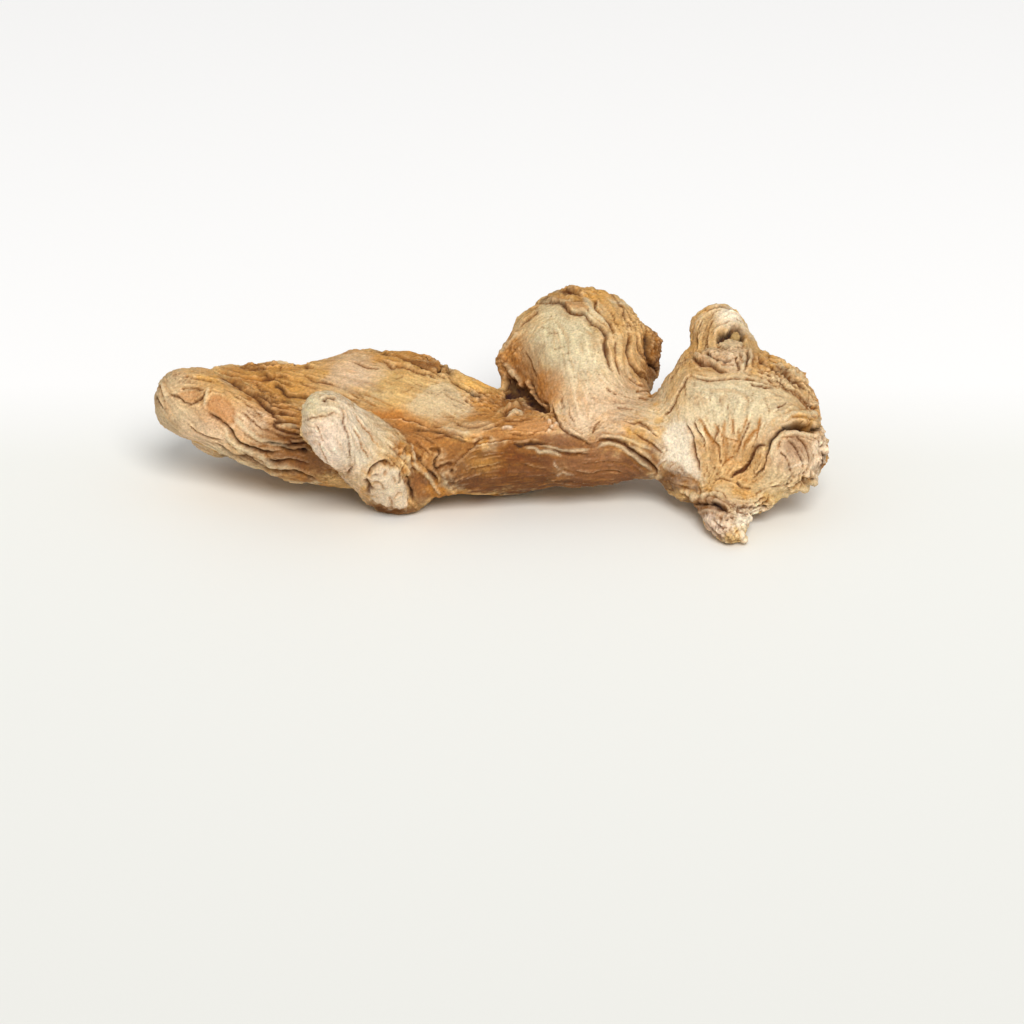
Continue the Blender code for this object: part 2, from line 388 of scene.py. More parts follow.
class Marks:
    """What is drawn on the front chart. Widths and depths are in millimetres.

    Lines, patches and washes reach only the skin that `lobe` names when they are drawn. Crusts and
    pulls reach any skin.
    """

    def __init__(self):
        self.lobe = ANY
        self.lines = []
        self.patches = []
        self.washes = []
        self.crusts = []
        self.pulls = []

    def furrow(self, width, depth, *points, tint="umber"):
        """A crease in the skin, coloured at the bottom with its tint: the crease's own colour, and painted
        shade where the tint is dark.
        """
        self.lines.append(("furrow", width, depth, points, tint, self.lobe))

    def ridge(self, width, height, *points, tint="cream"):
        """A raised fold, pale along its top."""
        self.lines.append(("ridge", width, height, points, tint, self.lobe))

    def frill(self, width, height, *points, tint="beige"):
        """A torn, ruffled lip of dry skin."""
        self.lines.append(("frill", width, height, points, tint, self.lobe))

    def step(self, width, height, *points, tint="umber"):
        """An edge where the skin on the line's left lies over the skin on its right. Its tint on the lower
        side is painted shade under the edge.
        """
        self.lines.append(("step", width, height, points, tint, self.lobe))

    def pit(self, radius, depth, *spots, tint="umber"):
        """A small round hole at each spot."""
        for u, v in spots:
            self.lines.append(("furrow", radius, depth, ((u, v), (u + PIT_LENGTH, v)), tint, self.lobe))

    def patch(self, tint, strength, height, *outline, soft=0.5):
        """An area of another colour, raised or sunk as one flake."""
        self.patches.append((tint, strength, height, outline, soft, self.lobe))

    def wash(self, tint, u, v, across, up, calm=0.0, strength=1.0):
        """A soft spread of colour. calm, from 0 to 1, is how smooth the skin is there."""
        self.washes.append((tint, u, v, across, up, calm, strength, self.lobe))

    def crust(self, u, v, across, up, height):
        """An area where the skin is broken up into rough little scales."""
        self.crusts.append((u, v, across, up, height))

    def pull(self, u, v, y, radius, sideways, upwards):
        """Drags the skin near the chart's (u, v), at the depth y, across and up the chart."""
        self.pulls.append((u, v, y, radius, sideways, upwards))


def profile(kind, distance, side, width):
    """The height of a mark of depth 1 at that distance from its line, and how much it colours."""
    across = distance / width
    if kind == "furrow":
        groove = -np.exp(-(across**1.4) * 1.6)
        lip = 0.36 * smoothstep(-1.5, 1.5, across * side) * np.exp(-(((across - 1.7) / 1.0) ** 2))
        return groove + lip, np.exp(-(across**2))
    if kind in ("ridge", "frill"):
        fold = np.exp(-(across**2))
        foot = -0.22 * np.exp(-(((across - 1.9) / 0.7) ** 2))
        return fold + foot, np.exp(-(across**2) * 1.3)
    over = np.exp(-across / 3.0) * smoothstep(-0.15, 0.25, across * side)
    under = -0.7 * np.exp(-((across / 0.9) ** 2)) * smoothstep(-0.25, 0.1, -across * side)
    return over + under, np.exp(-(across**2) * 1.6) * (side < 0)


def lobe_shares(points):
    """How far each point belongs to the short finger and to the rest, from 0 to 1."""
    offset = points - foot_print_middle()
    closeness = {
        name: np.exp(-7.0 * axis_distance(offset, axis)[0] / radius)
        for name, (axis, radius) in LOBES.items()
    }
    finger = smoothstep(0.3, 0.7, closeness[FINGER] / sum(closeness.values()))
    return {FINGER: finger, REST: 1.0 - finger, ANY: 1.0}


def draw_all_lines(marks, surface, chart, shown, shares, height):
    """Adds the lines to the height. Gives back their tints as (name, amount) pairs."""
    co = surface.co
    ruffle = 0.55 + 0.75 * noise(co, 0.8, 71) + 0.35 * noise(co, 1.9, 72)
    strength_change = 1.0 + 0.35 * noise(co, 1.6, 73)
    broken = np.clip(0.95 + 0.6 * noise(co, 0.9, 74) + 0.3 * noise(co, 0.4, 75), 0.0, 1.0)
    stain = np.zeros(surface.count)
    tints = []
    for kind, width, depth, points, tint, lobe in marks.lines:
        seen = shown * shares[lobe]
        thin, low_relief = SLIMMING[kind]
        width, depth = width * thin, depth * low_relief
        line, direction = curve_through(points)
        near = points_near(line, width * REACH[kind], chart, seen, LEAST_SEEN)
        if not len(near):
            continue
        distance, side, along, _ = distance_to(line, direction, chart[near])
        ends = np.clip(np.minimum(along, 1.0 - along) * 6.0 + 0.25, 0.0, 1.0)
        if len(points) == 2 and np.linalg.norm(line[0] - line[-1]) < SHORT_LINE:
            ends = 1.0
        shape, colour = profile(kind, distance, side, width * (0.55 + 0.45 * ends))
        amount = depth * ends * seen[near]
        if kind == "frill":
            amount = amount * np.clip(ruffle[near], 0.0, 1.6)
        amount = amount * strength_change[near]
        height[near] += shape * amount
        tinted = np.zeros(surface.count)
        tinted[near] = colour * ends * seen[near] * min(1.0, 0.45 + depth * 0.6) * broken[near]
        tints.append((tint, tinted))
        if kind in ("furrow", "step"):
            halo = 0.4 * min(1.0, depth) * np.exp(-((distance / (2.8 * width + 0.3)) ** 2))
            stain[near] = np.maximum(stain[near], halo * ends * seen[near])
    stain *= np.clip(1.0 + 0.9 * noise(co, 1.2, 76), 0.0, 1.5)
    return [("ochre", stain)] + tints


def draw_all_patches(marks, surface, chart, shown, shares, height):
    """Adds the patches to the height. Gives back their tints as (name, amount) pairs."""
    ragged = 0.5 * noise(surface.co, 1.4, 77) + 0.3 * noise(surface.co, 0.5, 78)
    tints = []
    for tint, strength, rise, outline, soft, lobe in marks.patches:
        seen = shown * shares[lobe]
        line, direction = curve_through(outline, closed=True)
        near = points_near(line, PATCH_REACH, chart, seen, LEAST_SEEN)
        if not len(near):
            continue
        distance, side, _, _ = distance_to(line, direction, chart[near])
        area = np.dot(line[:, 0], np.roll(line[:, 1], -1)) - np.dot(line[:, 1], np.roll(line[:, 0], -1))
        depth = distance * side * np.sign(area) + ragged[near] * min(1.0, 2.0 * soft)
        inside = smoothstep(-soft, soft, depth) * seen[near]
        height[near] += rise * inside
        tinted = np.zeros(surface.count)
        tinted[near] = inside * strength
        tints.append((tint, tinted))
    return tints


def pull_shape(marks, surface):
    for u, v, y, radius, sideways, upwards in marks.pulls:
        gap = surface.co - off_chart(u, v, y)
        amount = np.exp(-((gap**2).sum(axis=1)) / radius**2)[:, None]
        surface.co += amount * (RIGHTWARD * sideways + UPWARD * upwards)
    surface.co[:, 2] = np.maximum(surface.co[:, 2], 0.0)
    surface.refresh()


def crust_amount(marks, surface, chart, seen):
    amount = np.zeros(surface.count)
    for u, v, across, up, height in marks.crusts:
        square = ((chart[:, 0] - u) / across) ** 2 + ((chart[:, 1] - v) / up) ** 2
        amount = np.maximum(amount, height * np.exp(-(square**1.5)))
    return amount * (0.65 + 0.35 * seen)


# ---------------------------------------------------------------- the grain


def axis_distance(points, axis):
    """The distance from each point to a lobe's axis, and the axis's direction there."""
    best = np.full(len(points), np.inf)
    way = np.zeros((len(points), 3))
    for start, end in zip(axis[:-1], axis[1:]):
        start, end = np.array(start), np.array(end)
        span = end - start
        t = np.clip((points - start) @ span / (span @ span), 0.0, 1.0)
        gap = np.linalg.norm(points - start - t[:, None] * span, axis=1)
        closer = gap < best
        best[closer] = gap[closer]
        way[closer] = span / np.linalg.norm(span)
    return best, way


def squared(weight, way):
    """The weighted products of a direction with itself, in which its sign doesn't count."""
    return weight[:, None, None] * way[:, :, None] * way[:, None, :]


class Grain:
    """Which way the wrinkles run, kept on a grid as a direction without a sign."""

    def __init__(self, surface, marks, chart, seen):
        tensor = self.along_lobes(surface)
        self.add_drawn_lines(tensor, surface, marks, chart, seen)
        self.low = surface.co.min(axis=0) - GRAIN_MARGIN
        size = np.ceil((surface.co.max(axis=0) + GRAIN_MARGIN - self.low) / GRAIN_CELL).astype(int)
        grid = np.zeros(tuple(size) + (3, 3))
        cell = ((surface.co - self.low) / GRAIN_CELL).astype(int)
        np.add.at(grid, (cell[:, 0], cell[:, 1], cell[:, 2]), tensor)
        for _ in range(2):
            for axis in range(3):
                grid = grid + 0.6 * (np.roll(grid, 1, axis) + np.roll(grid, -1, axis))
        self.grid = np.linalg.eigh(grid)[1][..., 2]

    def along_lobes(self, surface):
        """The directions of the lobes' axes, laid flat on the skin."""
        offset = surface.co - foot_print_middle()
        tensor = np.zeros((surface.count, 3, 3))
        for axis, radius in LOBES.values():
            gap, way = axis_distance(offset, axis)
            weight = np.exp(-2.0 * (gap / radius) ** 2) + 1e-6
            way = way - (way * surface.normals).sum(axis=1)[:, None] * surface.normals
            tensor += squared(weight, way)
        return tensor

    def add_drawn_lines(self, tensor, surface, marks, chart, seen):
        """Turns the grain along the drawn lines, apart from those of only two points."""
        for _, _, _, points, _, _ in marks.lines:
            if len(points) < 3:
                continue
            line, direction = curve_through(points)
            near = points_near(line, DRAWN_REACH, chart, seen, 0.2)
            if not len(near):
                continue
            distance, _, _, way = distance_to(line, direction, chart[near])
            lifted = way[:, :1] * RIGHTWARD + way[:, 1:] * UPWARD
            normals = surface.normals[near]
            lean = (lifted * normals).sum(axis=1) / np.minimum(normals @ FORWARD, -0.15)
            lifted = unit(lifted - lean[:, None] * FORWARD)
            tensor[near] += squared(1.6 * np.exp(-((distance / 1.8) ** 2)) * seen[near], lifted)

    def at(self, points):
        cell = ((points - self.low) / GRAIN_CELL).astype(int)
        cell = np.clip(cell, 0, np.array(self.grid.shape[:3]) - 1)
        return self.grid[cell[:, 0], cell[:, 1], cell[:, 2]]

    def combed(self, points, size, length, seed):
        """Noise of that size, drawn out along the grain for about `length` mm. Its spread is 1."""
        total = noise(points, size, seed)
        stride = size * 0.8
        count = max(2, round(length / 2 / stride))
        for sign in (1.0, -1.0):
            place = points.copy()
            way = self.at(place) * sign
            for k in range(count):
                place = place + way * stride
                turned = self.at(place)
                turned = turned * np.sign((turned * way).sum(axis=1) + 1e-12)[:, None]
                way = unit(0.5 * way + 0.5 * turned)
                total += noise(place, size, seed) * (1.0 - (k + 1) / (count + 1.5))
        return total / total.std()


# ---------------------------------------------------------------- what is drawn where

marks = Marks()
furrow, ridge, frill, step, pit = marks.furrow, marks.ridge, marks.frill, marks.step, marks.pit
patch, wash, crust, pull = marks.patch, marks.wash, marks.crust, marks.pull


def draw_long_finger():
    wash("dusty", -52, 22, 4, 4.5, calm=0.75, strength=1.4)
    wash("tan", -43, 24.5, 5, 2, calm=0.3)
    wash("pink", -47, 18, 5, 3, calm=0.6)
    wash("beige", -40, 14.5, 5, 2, calm=0.2)
    wash("salmon", -44, 22, 2.5, 1.6, calm=0.7)
    wash("pink", -38.5, 20, 4, 2.4, calm=0.5)
    wash("purple_brown", -31.5, 13.8, 4, 1.6, strength=2)
    furrow(0.7, 1.2, (-44, 28), (-42, 27), (-40, 25.7), (-38, 24), (-36, 22.3), (-35, 21.4), (-34.4, 20.2))
    furrow(0.4, 0.7, (-54.6, 24.6), (-54.2, 23.4), (-53.4, 22.3), tint="brown")
    furrow(0.35, 0.6, (-54.2, 26.2), (-53.6, 25), (-53.2, 23.9), tint="ochre")
    ridge(0.4, 0.6, (-53.8, 26.4), (-53.2, 25.2), (-52.6, 24.2))
    pit(0.22, 0.3, (-53, 23.4), (-52.8, 22.2), (-54.2, 23))
    furrow(0.45, 0.8, (-52.3, 24.6), (-51, 24), (-50, 23.2), (-49, 22.9), (-48.2, 23.2), (-47, 24.2),
        (-46.5, 25.2))
    furrow(0.35, 0.5, (-50.5, 25.2), (-49, 25.6), (-47.5, 25.3), (-46.4, 25.4))
    furrow(0.35, 0.4, (-50, 27), (-49.5, 27.4), (-48, 27.2), (-45.5, 26.7), (-44.5, 26.4), tint="brown")
    patch("salmon", 0.6, -0.3, (-51, 24.3), (-49.5, 23.4), (-48.2, 23.6), (-47.3, 24.8), (-49, 25.3),
        soft=0.3)
    ridge(0.45, 0.45, (-46, 25.8), (-46.3, 24.4), (-46.6, 22.6))
    patch("salmon", 0.7, -0.45, (-46, 23.5), (-44.5, 24.3), (-43, 23.8), (-42, 22.5), (-41.5, 21),
        (-42.5, 19.5), (-44, 20.3), (-46, 21.6))
    furrow(0.55, 1.1, (-46.8, 22.2), (-46, 21.6), (-44.6, 20.6), (-43.4, 19.7), (-42.1, 18.5),
        (-41.3, 17.2), (-39.9, 16), (-38.4, 15.4), (-36.8, 15), (-34, 15))
    ridge(0.55, 0.5, (-44, 19.5), (-43, 18.6), (-42.5, 17.4), (-41.5, 16.3), (-40, 15.3), (-38.5, 14.8),
        (-37, 14.2), (-35, 13), (-33, 12.7), (-31, 12.2))
    ridge(0.6, 0.45, (-42, 21), (-41, 20), (-39.5, 18.5), (-38, 17.3), (-36, 16.7), (-34, 16.3),
        (-32.5, 15.4))
    furrow(0.5, 0.8, (-44.5, 16.2), (-42, 14.8), (-40, 14.3), (-38.5, 13.7), (-37, 13))
    furrow(0.65, 1.3, (-37, 13), (-35.5, 12.4), (-34, 12.2), (-32, 11.8), (-30, 11.2), (-28.5, 10.7),
        tint="dark")
    furrow(0.5, 0.9, (-36.5, 14), (-34.5, 13.6), (-32, 13.6), (-29.5, 13))
    ridge(0.5, 0.45, (-46.5, 16.3), (-44.7, 15.5), (-43, 14.5), (-41, 13.6), (-39, 12.9), (-36, 11.8),
        (-34, 11.4))
    furrow(0.4, 0.6, (-45, 15), (-42, 13.9), (-39.5, 12.6), (-37, 11.8))
    furrow(0.35, 0.45, (-49, 19.5), (-47.3, 18), (-45.6, 17.3), (-43.5, 16.9), tint="brown")
    furrow(0.35, 0.4, (-40.5, 21.8), (-39, 20.3), (-37, 18.9), (-35.3, 18.1), tint="brown")
    furrow(0.35, 0.4, (-41.5, 24.6), (-40, 23.4), (-38.3, 22), (-36.8, 20.6), tint="brown")


def draw_left_body():
    wash("ochre", -37, 27, 5.5, 2.4)
    wash("gold", -33, 25, 4, 3)
    wash("ochre", -33, 20, 3, 3)
    wash("brown", -33, 16.2, 4, 2.4, strength=2.2)
    wash("ochre", -35, 23.5, 3, 2, strength=1.4)
    furrow(0.45, 0.8, (-41.3, 29.2), (-40, 28.8), (-38, 28.4), (-36.3, 28.3))
    furrow(0.35, 0.5, (-38.5, 29.3), (-36.5, 29.1), (-34.7, 29))
    furrow(0.35, 0.5, (-32.5, 29.4), (-30.5, 29.3), (-28.6, 28.9))
    furrow(0.35, 0.6, (-38, 26.5), (-36, 27.1), (-34.5, 27.4), (-32.6, 27.2))
    furrow(0.5, 0.8, (-36, 26), (-35.2, 26.1), (-34.3, 25.6), (-33.8, 25), (-33, 24.5), (-32, 24.2),
        (-30.5, 24), (-29, 23.7), tint="dark")
    furrow(0.4, 0.7, (-38.8, 24.8), (-37.5, 24.4), (-36, 23.4), (-35, 22.7))
    furrow(0.35, 0.6, (-37.2, 25), (-36.8, 24.2), (-35.8, 23.5), (-34, 23.3))
    furrow(0.35, 0.6, (-36, 22.9), (-34.5, 22.7), (-33.5, 22.5), (-31.5, 22.6))
    furrow(0.35, 0.5, (-31.8, 22.5), (-31, 22.2), (-30.2, 22.1))
    furrow(0.45, 0.8, (-36.5, 22.8), (-35.5, 22), (-34.5, 21.5), (-33, 21.4), (-31.5, 21.1))
    furrow(0.55, 1.1, (-31.2, 19.7), (-33, 20), (-34.8, 19.9), (-35, 19.2), (-34, 18.6), (-33, 18.3),
        (-31.5, 18.1), (-30.5, 18.1))
    ridge(0.5, 0.4, (-34, 19.3), (-32.8, 19.3), (-31.2, 19))
    furrow(0.4, 0.7, (-36.8, 18.9), (-35.3, 18.5), (-34, 17.8), (-32, 17.5), (-30.5, 17.4))
    furrow(0.45, 0.9, (-37, 16.8), (-35, 16.5), (-33, 16.2), (-31, 16.5), (-30, 16.5), tint="dark")
    furrow(0.6, 1.1, (-34.5, 15.9), (-33, 15.4), (-31, 15.2), (-29.6, 15.2), tint="dark")
    ridge(0.5, 0.4, (-37, 25.6), (-34.5, 26.6), (-32, 26.2), (-29.5, 25.6), tint="gold")
    ridge(0.5, 0.4, (-40.5, 27.9), (-38, 27.4), (-35.8, 27.8), (-33.2, 28.3), tint="gold")
    ridge(0.45, 0.35, (-33.5, 23.6), (-31.6, 23.3), (-29.8, 23), tint="gold")
    ridge(0.45, 0.35, (-34.2, 20.8), (-32.6, 20.7), (-31.2, 20.4), tint="gold")
    furrow(0.35, 0.5, (-30.5, 27.9), (-28.6, 26.8), (-26.8, 26.2), (-25.2, 25.7), tint="brown")
    furrow(0.3, 0.4, (-31.5, 26.7), (-29.5, 25.9), (-27.8, 25.1), tint="brown")


def draw_short_finger():
    # Painted light: the beige wash brightens the finger's right flank, which lies in shade.
    wash("beige", -18.6, 19, 2, 3.6, calm=0.7, strength=1.6)
    pit(0.45, 0.6, (-27.1, 23.5), (-25.7, 23.8), tint="dark")
    wash("greenish", -28, 22.5, 3, 2, calm=0.7)
    wash("lavender", -26.5, 17, 3, 4.5, calm=0.8)
    wash("white", -21.5, 18, 2.6, 4.6, calm=0.8)
    wash("pink", -24, 9, 3, 2.5, calm=0.3)
    furrow(0.35, 0.5, (-27.6, 23.5), (-26.6, 23.8), (-25.2, 23.7))
    furrow(0.35, 0.4, (-30.5, 20.2), (-29, 20.7), (-26.5, 21.1), (-25.5, 21.9), tint="brown")
    furrow(0.35, 0.4, (-25, 22.8), (-24.2, 22.3), (-23.9, 21.4), (-23.8, 19.9), (-23.5, 18.7),
        (-23.2, 17.7), (-23, 16.5), (-22.5, 13.5), tint="brown")
    furrow(0.3, 0.35, (-28, 17), (-27.3, 15.2), (-26.7, 14), (-26, 13.2), tint="salmon")
    furrow(0.3, 0.35, (-28.6, 19.6), (-27.8, 18.2), (-27.2, 16.8), tint="salmon")
    furrow(0.45, 0.8, (-26.6, 13.2), (-25.5, 12.8), (-24.3, 12.1), (-23.5, 11.8), (-23, 11.9),
        (-22.4, 12.8))
    patch("white", 0.8, 0.3, (-27.7, 12.8), (-26, 12.9), (-24.5, 11.8), (-23.5, 11.2), (-24.5, 9.5),
        (-27, 10))
    furrow(0.3, 0.4, (-22.4, 21.8), (-20.8, 19.3), (-19.5, 17.4), (-18.1, 15.8), tint="orange")
    furrow(0.3, 0.35, (-22.6, 19.6), (-21.6, 17.4), (-20.6, 15.4), (-19.8, 14), tint="orange")


def draw_short_finger_base():
    wash("brown", -17.5, 5.5, 3.5, 1.2)
    crust(-12.5, 13, 3.2, 3.4, 0.5)
    crust(-25, 11.5, 2.6, 1.6, 0.3)
    furrow(0.5, 0.9, (-20.2, 11.2), (-19.7, 12), (-19, 12.7), (-18.2, 13.4), (-17.3, 13.6), (-16.6, 13.3))
    furrow(0.6, 0.9, (-20.3, 11), (-19.6, 9.9), (-19.7, 8.3))
    patch("white", 0.7, 0.3, (-19, 12.3), (-18, 13.1), (-16.5, 13), (-15.3, 12), (-14.3, 11), (-13.7, 9.5),
        (-13.4, 8.3), (-13.8, 7), (-14.6, 6), (-16, 6.1), (-17.5, 6.5), (-19, 7.5), (-19.5, 9),
        (-18.7, 10.3), soft=0.55)
    crust(-16.5, 9, 3, 3.4, 0.14)
    furrow(0.35, 0.6, (-15.2, 12.4), (-14.9, 11.2), (-15.3, 10.2), tint="brown")
    furrow(0.35, 0.5, (-18.9, 10.6), (-17.9, 10.2), (-17.2, 9.3), tint="ochre")
    furrow(0.35, 0.6, (-16.2, 6.2), (-15.9, 7.2), (-16.4, 8.2), tint="orange")
    furrow(0.3, 0.5, (-14.2, 8.9), (-15.1, 8.5), (-15.6, 7.6), tint="ochre")
    pit(0.5, 0.7, (-19.2, 9.6), (-18.6, 11.6), tint="brown")
    furrow(0.3, 0.5, (-17.3, 11.3), (-17, 12.4), tint="orange")
    furrow(0.3, 0.5, (-15.7, 10.6), (-16.1, 11.8), tint="orange")
    patch("purple_brown", 0.7, 0, (-14, 11), (-13, 11.8), (-12, 11.5), (-11, 10.3), (-10.3, 9), (-10.2, 8),
        (-11, 7), (-12.5, 7.8), (-13.3, 8.5))
    furrow(0.5, 0.9, (-13.8, 12), (-13.3, 10.4), (-12.8, 8.8), (-12.6, 7.4), tint="dark")
    pit(0.7, 1.2, (-14, 15.3), tint="dark")
    frill(0.5, 0.8, (-15.2, 14.6), (-13.8, 14), (-12.8, 12.6))
    ridge(0.4, 0.6, (-13.2, 16), (-12.5, 14.2), (-12.1, 13), (-11.2, 12))
    frill(0.5, 0.7, (-11.5, 12.2), (-10, 10.9), (-9, 9.2), (-8.4, 8.2))
    furrow(0.5, 0.9, (-12, 14.8), (-11, 13.2), (-9.6, 11.6), (-8.4, 10), tint="dark")
    furrow(1, 0.5, (-20, 6.2), (-17, 5.4), (-14, 5.6))


def draw_body_top():
    pull(-20.5, 31.5, 13, 4.5, 0, 1.6)
    pull(-31, 29.5, 12, 4, 0, -0.7)
    pull(-11, 31, 13, 3, 0, -0.5)
    crust(-9, 29.4, 4.5, 1.8, 0.5)
    crust(-20, 32, 5, 0.9, 0.3)
    crust(-36, 29.2, 7, 0.9, 0.35)
    crust(-1, 23.6, 3.4, 1.6, 0.45)
    crust(-8, 14.5, 3, 2.4, 0.3)
    wash("tan", -24, 23.5, 4, 2.2, calm=0.5)
    wash("gold", -28, 28.5, 5, 1.6, calm=0.2)
    wash("pink", -22.5, 27.8, 4, 2.2, calm=0.85, strength=1.4)
    wash("gold", -14, 31, 5, 1.2, calm=0.2)
    wash("ochre", -11, 30.6, 6, 1, strength=2)
    patch("pink", 0.35, 0, (-26.6, 27), (-25.8, 28.6), (-23.5, 29.4), (-20.6, 28.9), (-19.4, 27.2),
        (-20.8, 25.8), (-23.6, 25.2), (-25.6, 25.8))
    wash("straw", -14, 25.5, 5, 2.8, calm=0.75)
    wash("beige", -8.4, 23.6, 4.2, 2.4, calm=0.75)
    wash("orange", -17, 20.5, 4, 1.6, calm=0.5)
    wash("orange", -12, 17.5, 4, 2.4, calm=0.1)
    wash("bright_gold", -2.5, 26, 3, 1, calm=0.3)
    wash("ochre", 0, 23, 3, 1.6)
    wash("brown", 3.6, 22.6, 2.2, 1, strength=1.6)
    furrow(0.55, 1.1, (-19.5, 31.8), (-17.5, 31.3), (-16, 30.7), (-14.5, 30.2), (-13, 29.7), (-11.5, 29),
        (-10, 28.4), (-8.5, 27.9), (-7.3, 27.4))
    patch("brown", 0.8, -0.5, (-14, 30.1), (-12, 30.3), (-10, 30), (-8.3, 28.9), (-8.6, 28.3),
        (-11.5, 29.2))
    ridge(0.45, 0.4, (-20.5, 31.3), (-17, 30.6), (-14, 29.5), (-11, 28.5), (-8, 27.5), tint="gold")
    ridge(0.5, 0.5, (-18.5, 32), (-15.5, 31.6), (-12, 31.1), (-9.3, 30.2), (-7.2, 29.6), tint="gold")
    pit(0.9, 1.3, (-8.2, 28.9), (-6.5, 28.6), tint="dark")
    furrow(0.3, 0.45, (-22.7, 29.7), (-21, 29.3), (-19.5, 28.9), (-18, 28.6), tint="brown")
    furrow(0.4, 0.6, (-17.5, 29.8), (-16.7, 29.2), (-16, 28.8), (-15.3, 29), (-13, 28.6), (-12, 28),
        (-10, 27.6), (-8.5, 27.1), tint="brown")
    ridge(0.6, 0.7, (-6.5, 28.6), (-4, 26.9), (-2, 25.4), (0, 24.3), tint="bright_gold")
    furrow(0.45, 0.9, (-6.6, 27.5), (-5, 26), (-4, 25.2), (-2.5, 24.3), (-1.4, 23.7), tint="dark")
    pit(0.4, 0.8, (-4, 23.6), (-3.2, 22.6))
    furrow(0.35, 0.6, (-0.5, 23.6), (1, 23.2), (2, 22.6))
    furrow(0.35, 0.6, (0.5, 22), (1.5, 21.5), (2.4, 21.6))
    patch("beige", 0.6, 0.2, (-13.5, 22.5), (-12, 24), (-10, 25.5), (-8, 26.5), (-6, 26), (-5, 24.5),
        (-4.5, 22), (-6, 21.3), (-9, 21.5), (-12, 21), soft=0.35)
    furrow(0.3, 0.5, (-7.7, 25), (-7, 24.2), (-6, 23.7), (-4.2, 22.8), tint="brown")
    patch("orange", 0.75, -0.2, (-19.5, 21.4), (-17, 21.8), (-15, 21.6), (-14.7, 21), (-17, 20),
        (-19, 20.4))
    step(0.5, 0.7, (-9.8, 18.8), (-11, 19.4), (-12.5, 19.9), (-14, 20.1), (-15, 20.4), (-17.5, 20),
        (-19, 19.6))
    furrow(0.9, 1, (-15.5, 18), (-14.6, 17), (-13.4, 16.6))
    patch("umber_tan", 0.5, 0, (-16.3, 19.2), (-11.1, 18.9), (-5.4, 17.3), (-2.5, 16.4), (-4.8, 13.6),
        (-6.2, 12.1), (-8.8, 12.1), (-12, 13), (-13.4, 15.3), (-15.5, 17.6), soft=0.4)
    patch("beige", 0.45, 0.15, (-8.4, 19.2), (-6.4, 17.9), (-3.6, 17.5), (-0.5, 18.1), (1.2, 19.2),
        (-1, 19.9), (-3, 20.5), (-5.5, 19.7), soft=0.4)
    furrow(0.4, 0.7, (-13, 18.6), (-11.1, 18.8), (-8.2, 18.1), (-5.4, 17.2), (-3.4, 16.8), tint="dark")
    ridge(0.4, 0.5, (-7.8, 19), (-6.4, 18.3), (-4.8, 18.2), (-3, 18))
    furrow(0.35, 0.6, (-1.6, 18.4), (0.2, 18.9), (2, 19.6), (4, 20.4))
    crust(-3.5, 18.9, 3.4, 1, 0.2)
    furrow(0.35, 0.6, (-9.6, 17.2), (-7.6, 17.5), (-5.8, 17.9), (-3.8, 17.2), tint="brown")
    furrow(0.35, 0.5, (-6, 20.2), (-4.5, 19.4), (-2.5, 19.2), (0, 19.5), tint="brown")
    furrow(0.35, 0.5, (-12.5, 18.2), (-10.6, 17.2), (-9.2, 16.4))
    furrow(0.35, 0.5, (-12.6, 16.6), (-11, 15.7), (-9.8, 14.6))
    furrow(0.45, 0.9, (-10.1, 15.7), (-8.6, 15.7), (-8.3, 14.8), (-9, 13.9), (-9.1, 12.8), (-8.6, 12),
        tint="dark")
    furrow(0.45, 0.8, (-9, 12), (-8.5, 12.6), (-7.5, 13.1), (-5.7, 13.4))
    pit(0.6, 1, (-6.3, 12.3), tint="dark")
    for shift in (0, 2.1, 4.4):
        furrow(0.3, 0.3, (-25 + shift, 24.6), (-22.6 + shift, 23.6), (-20.2 + shift, 22.4), tint="ochre")


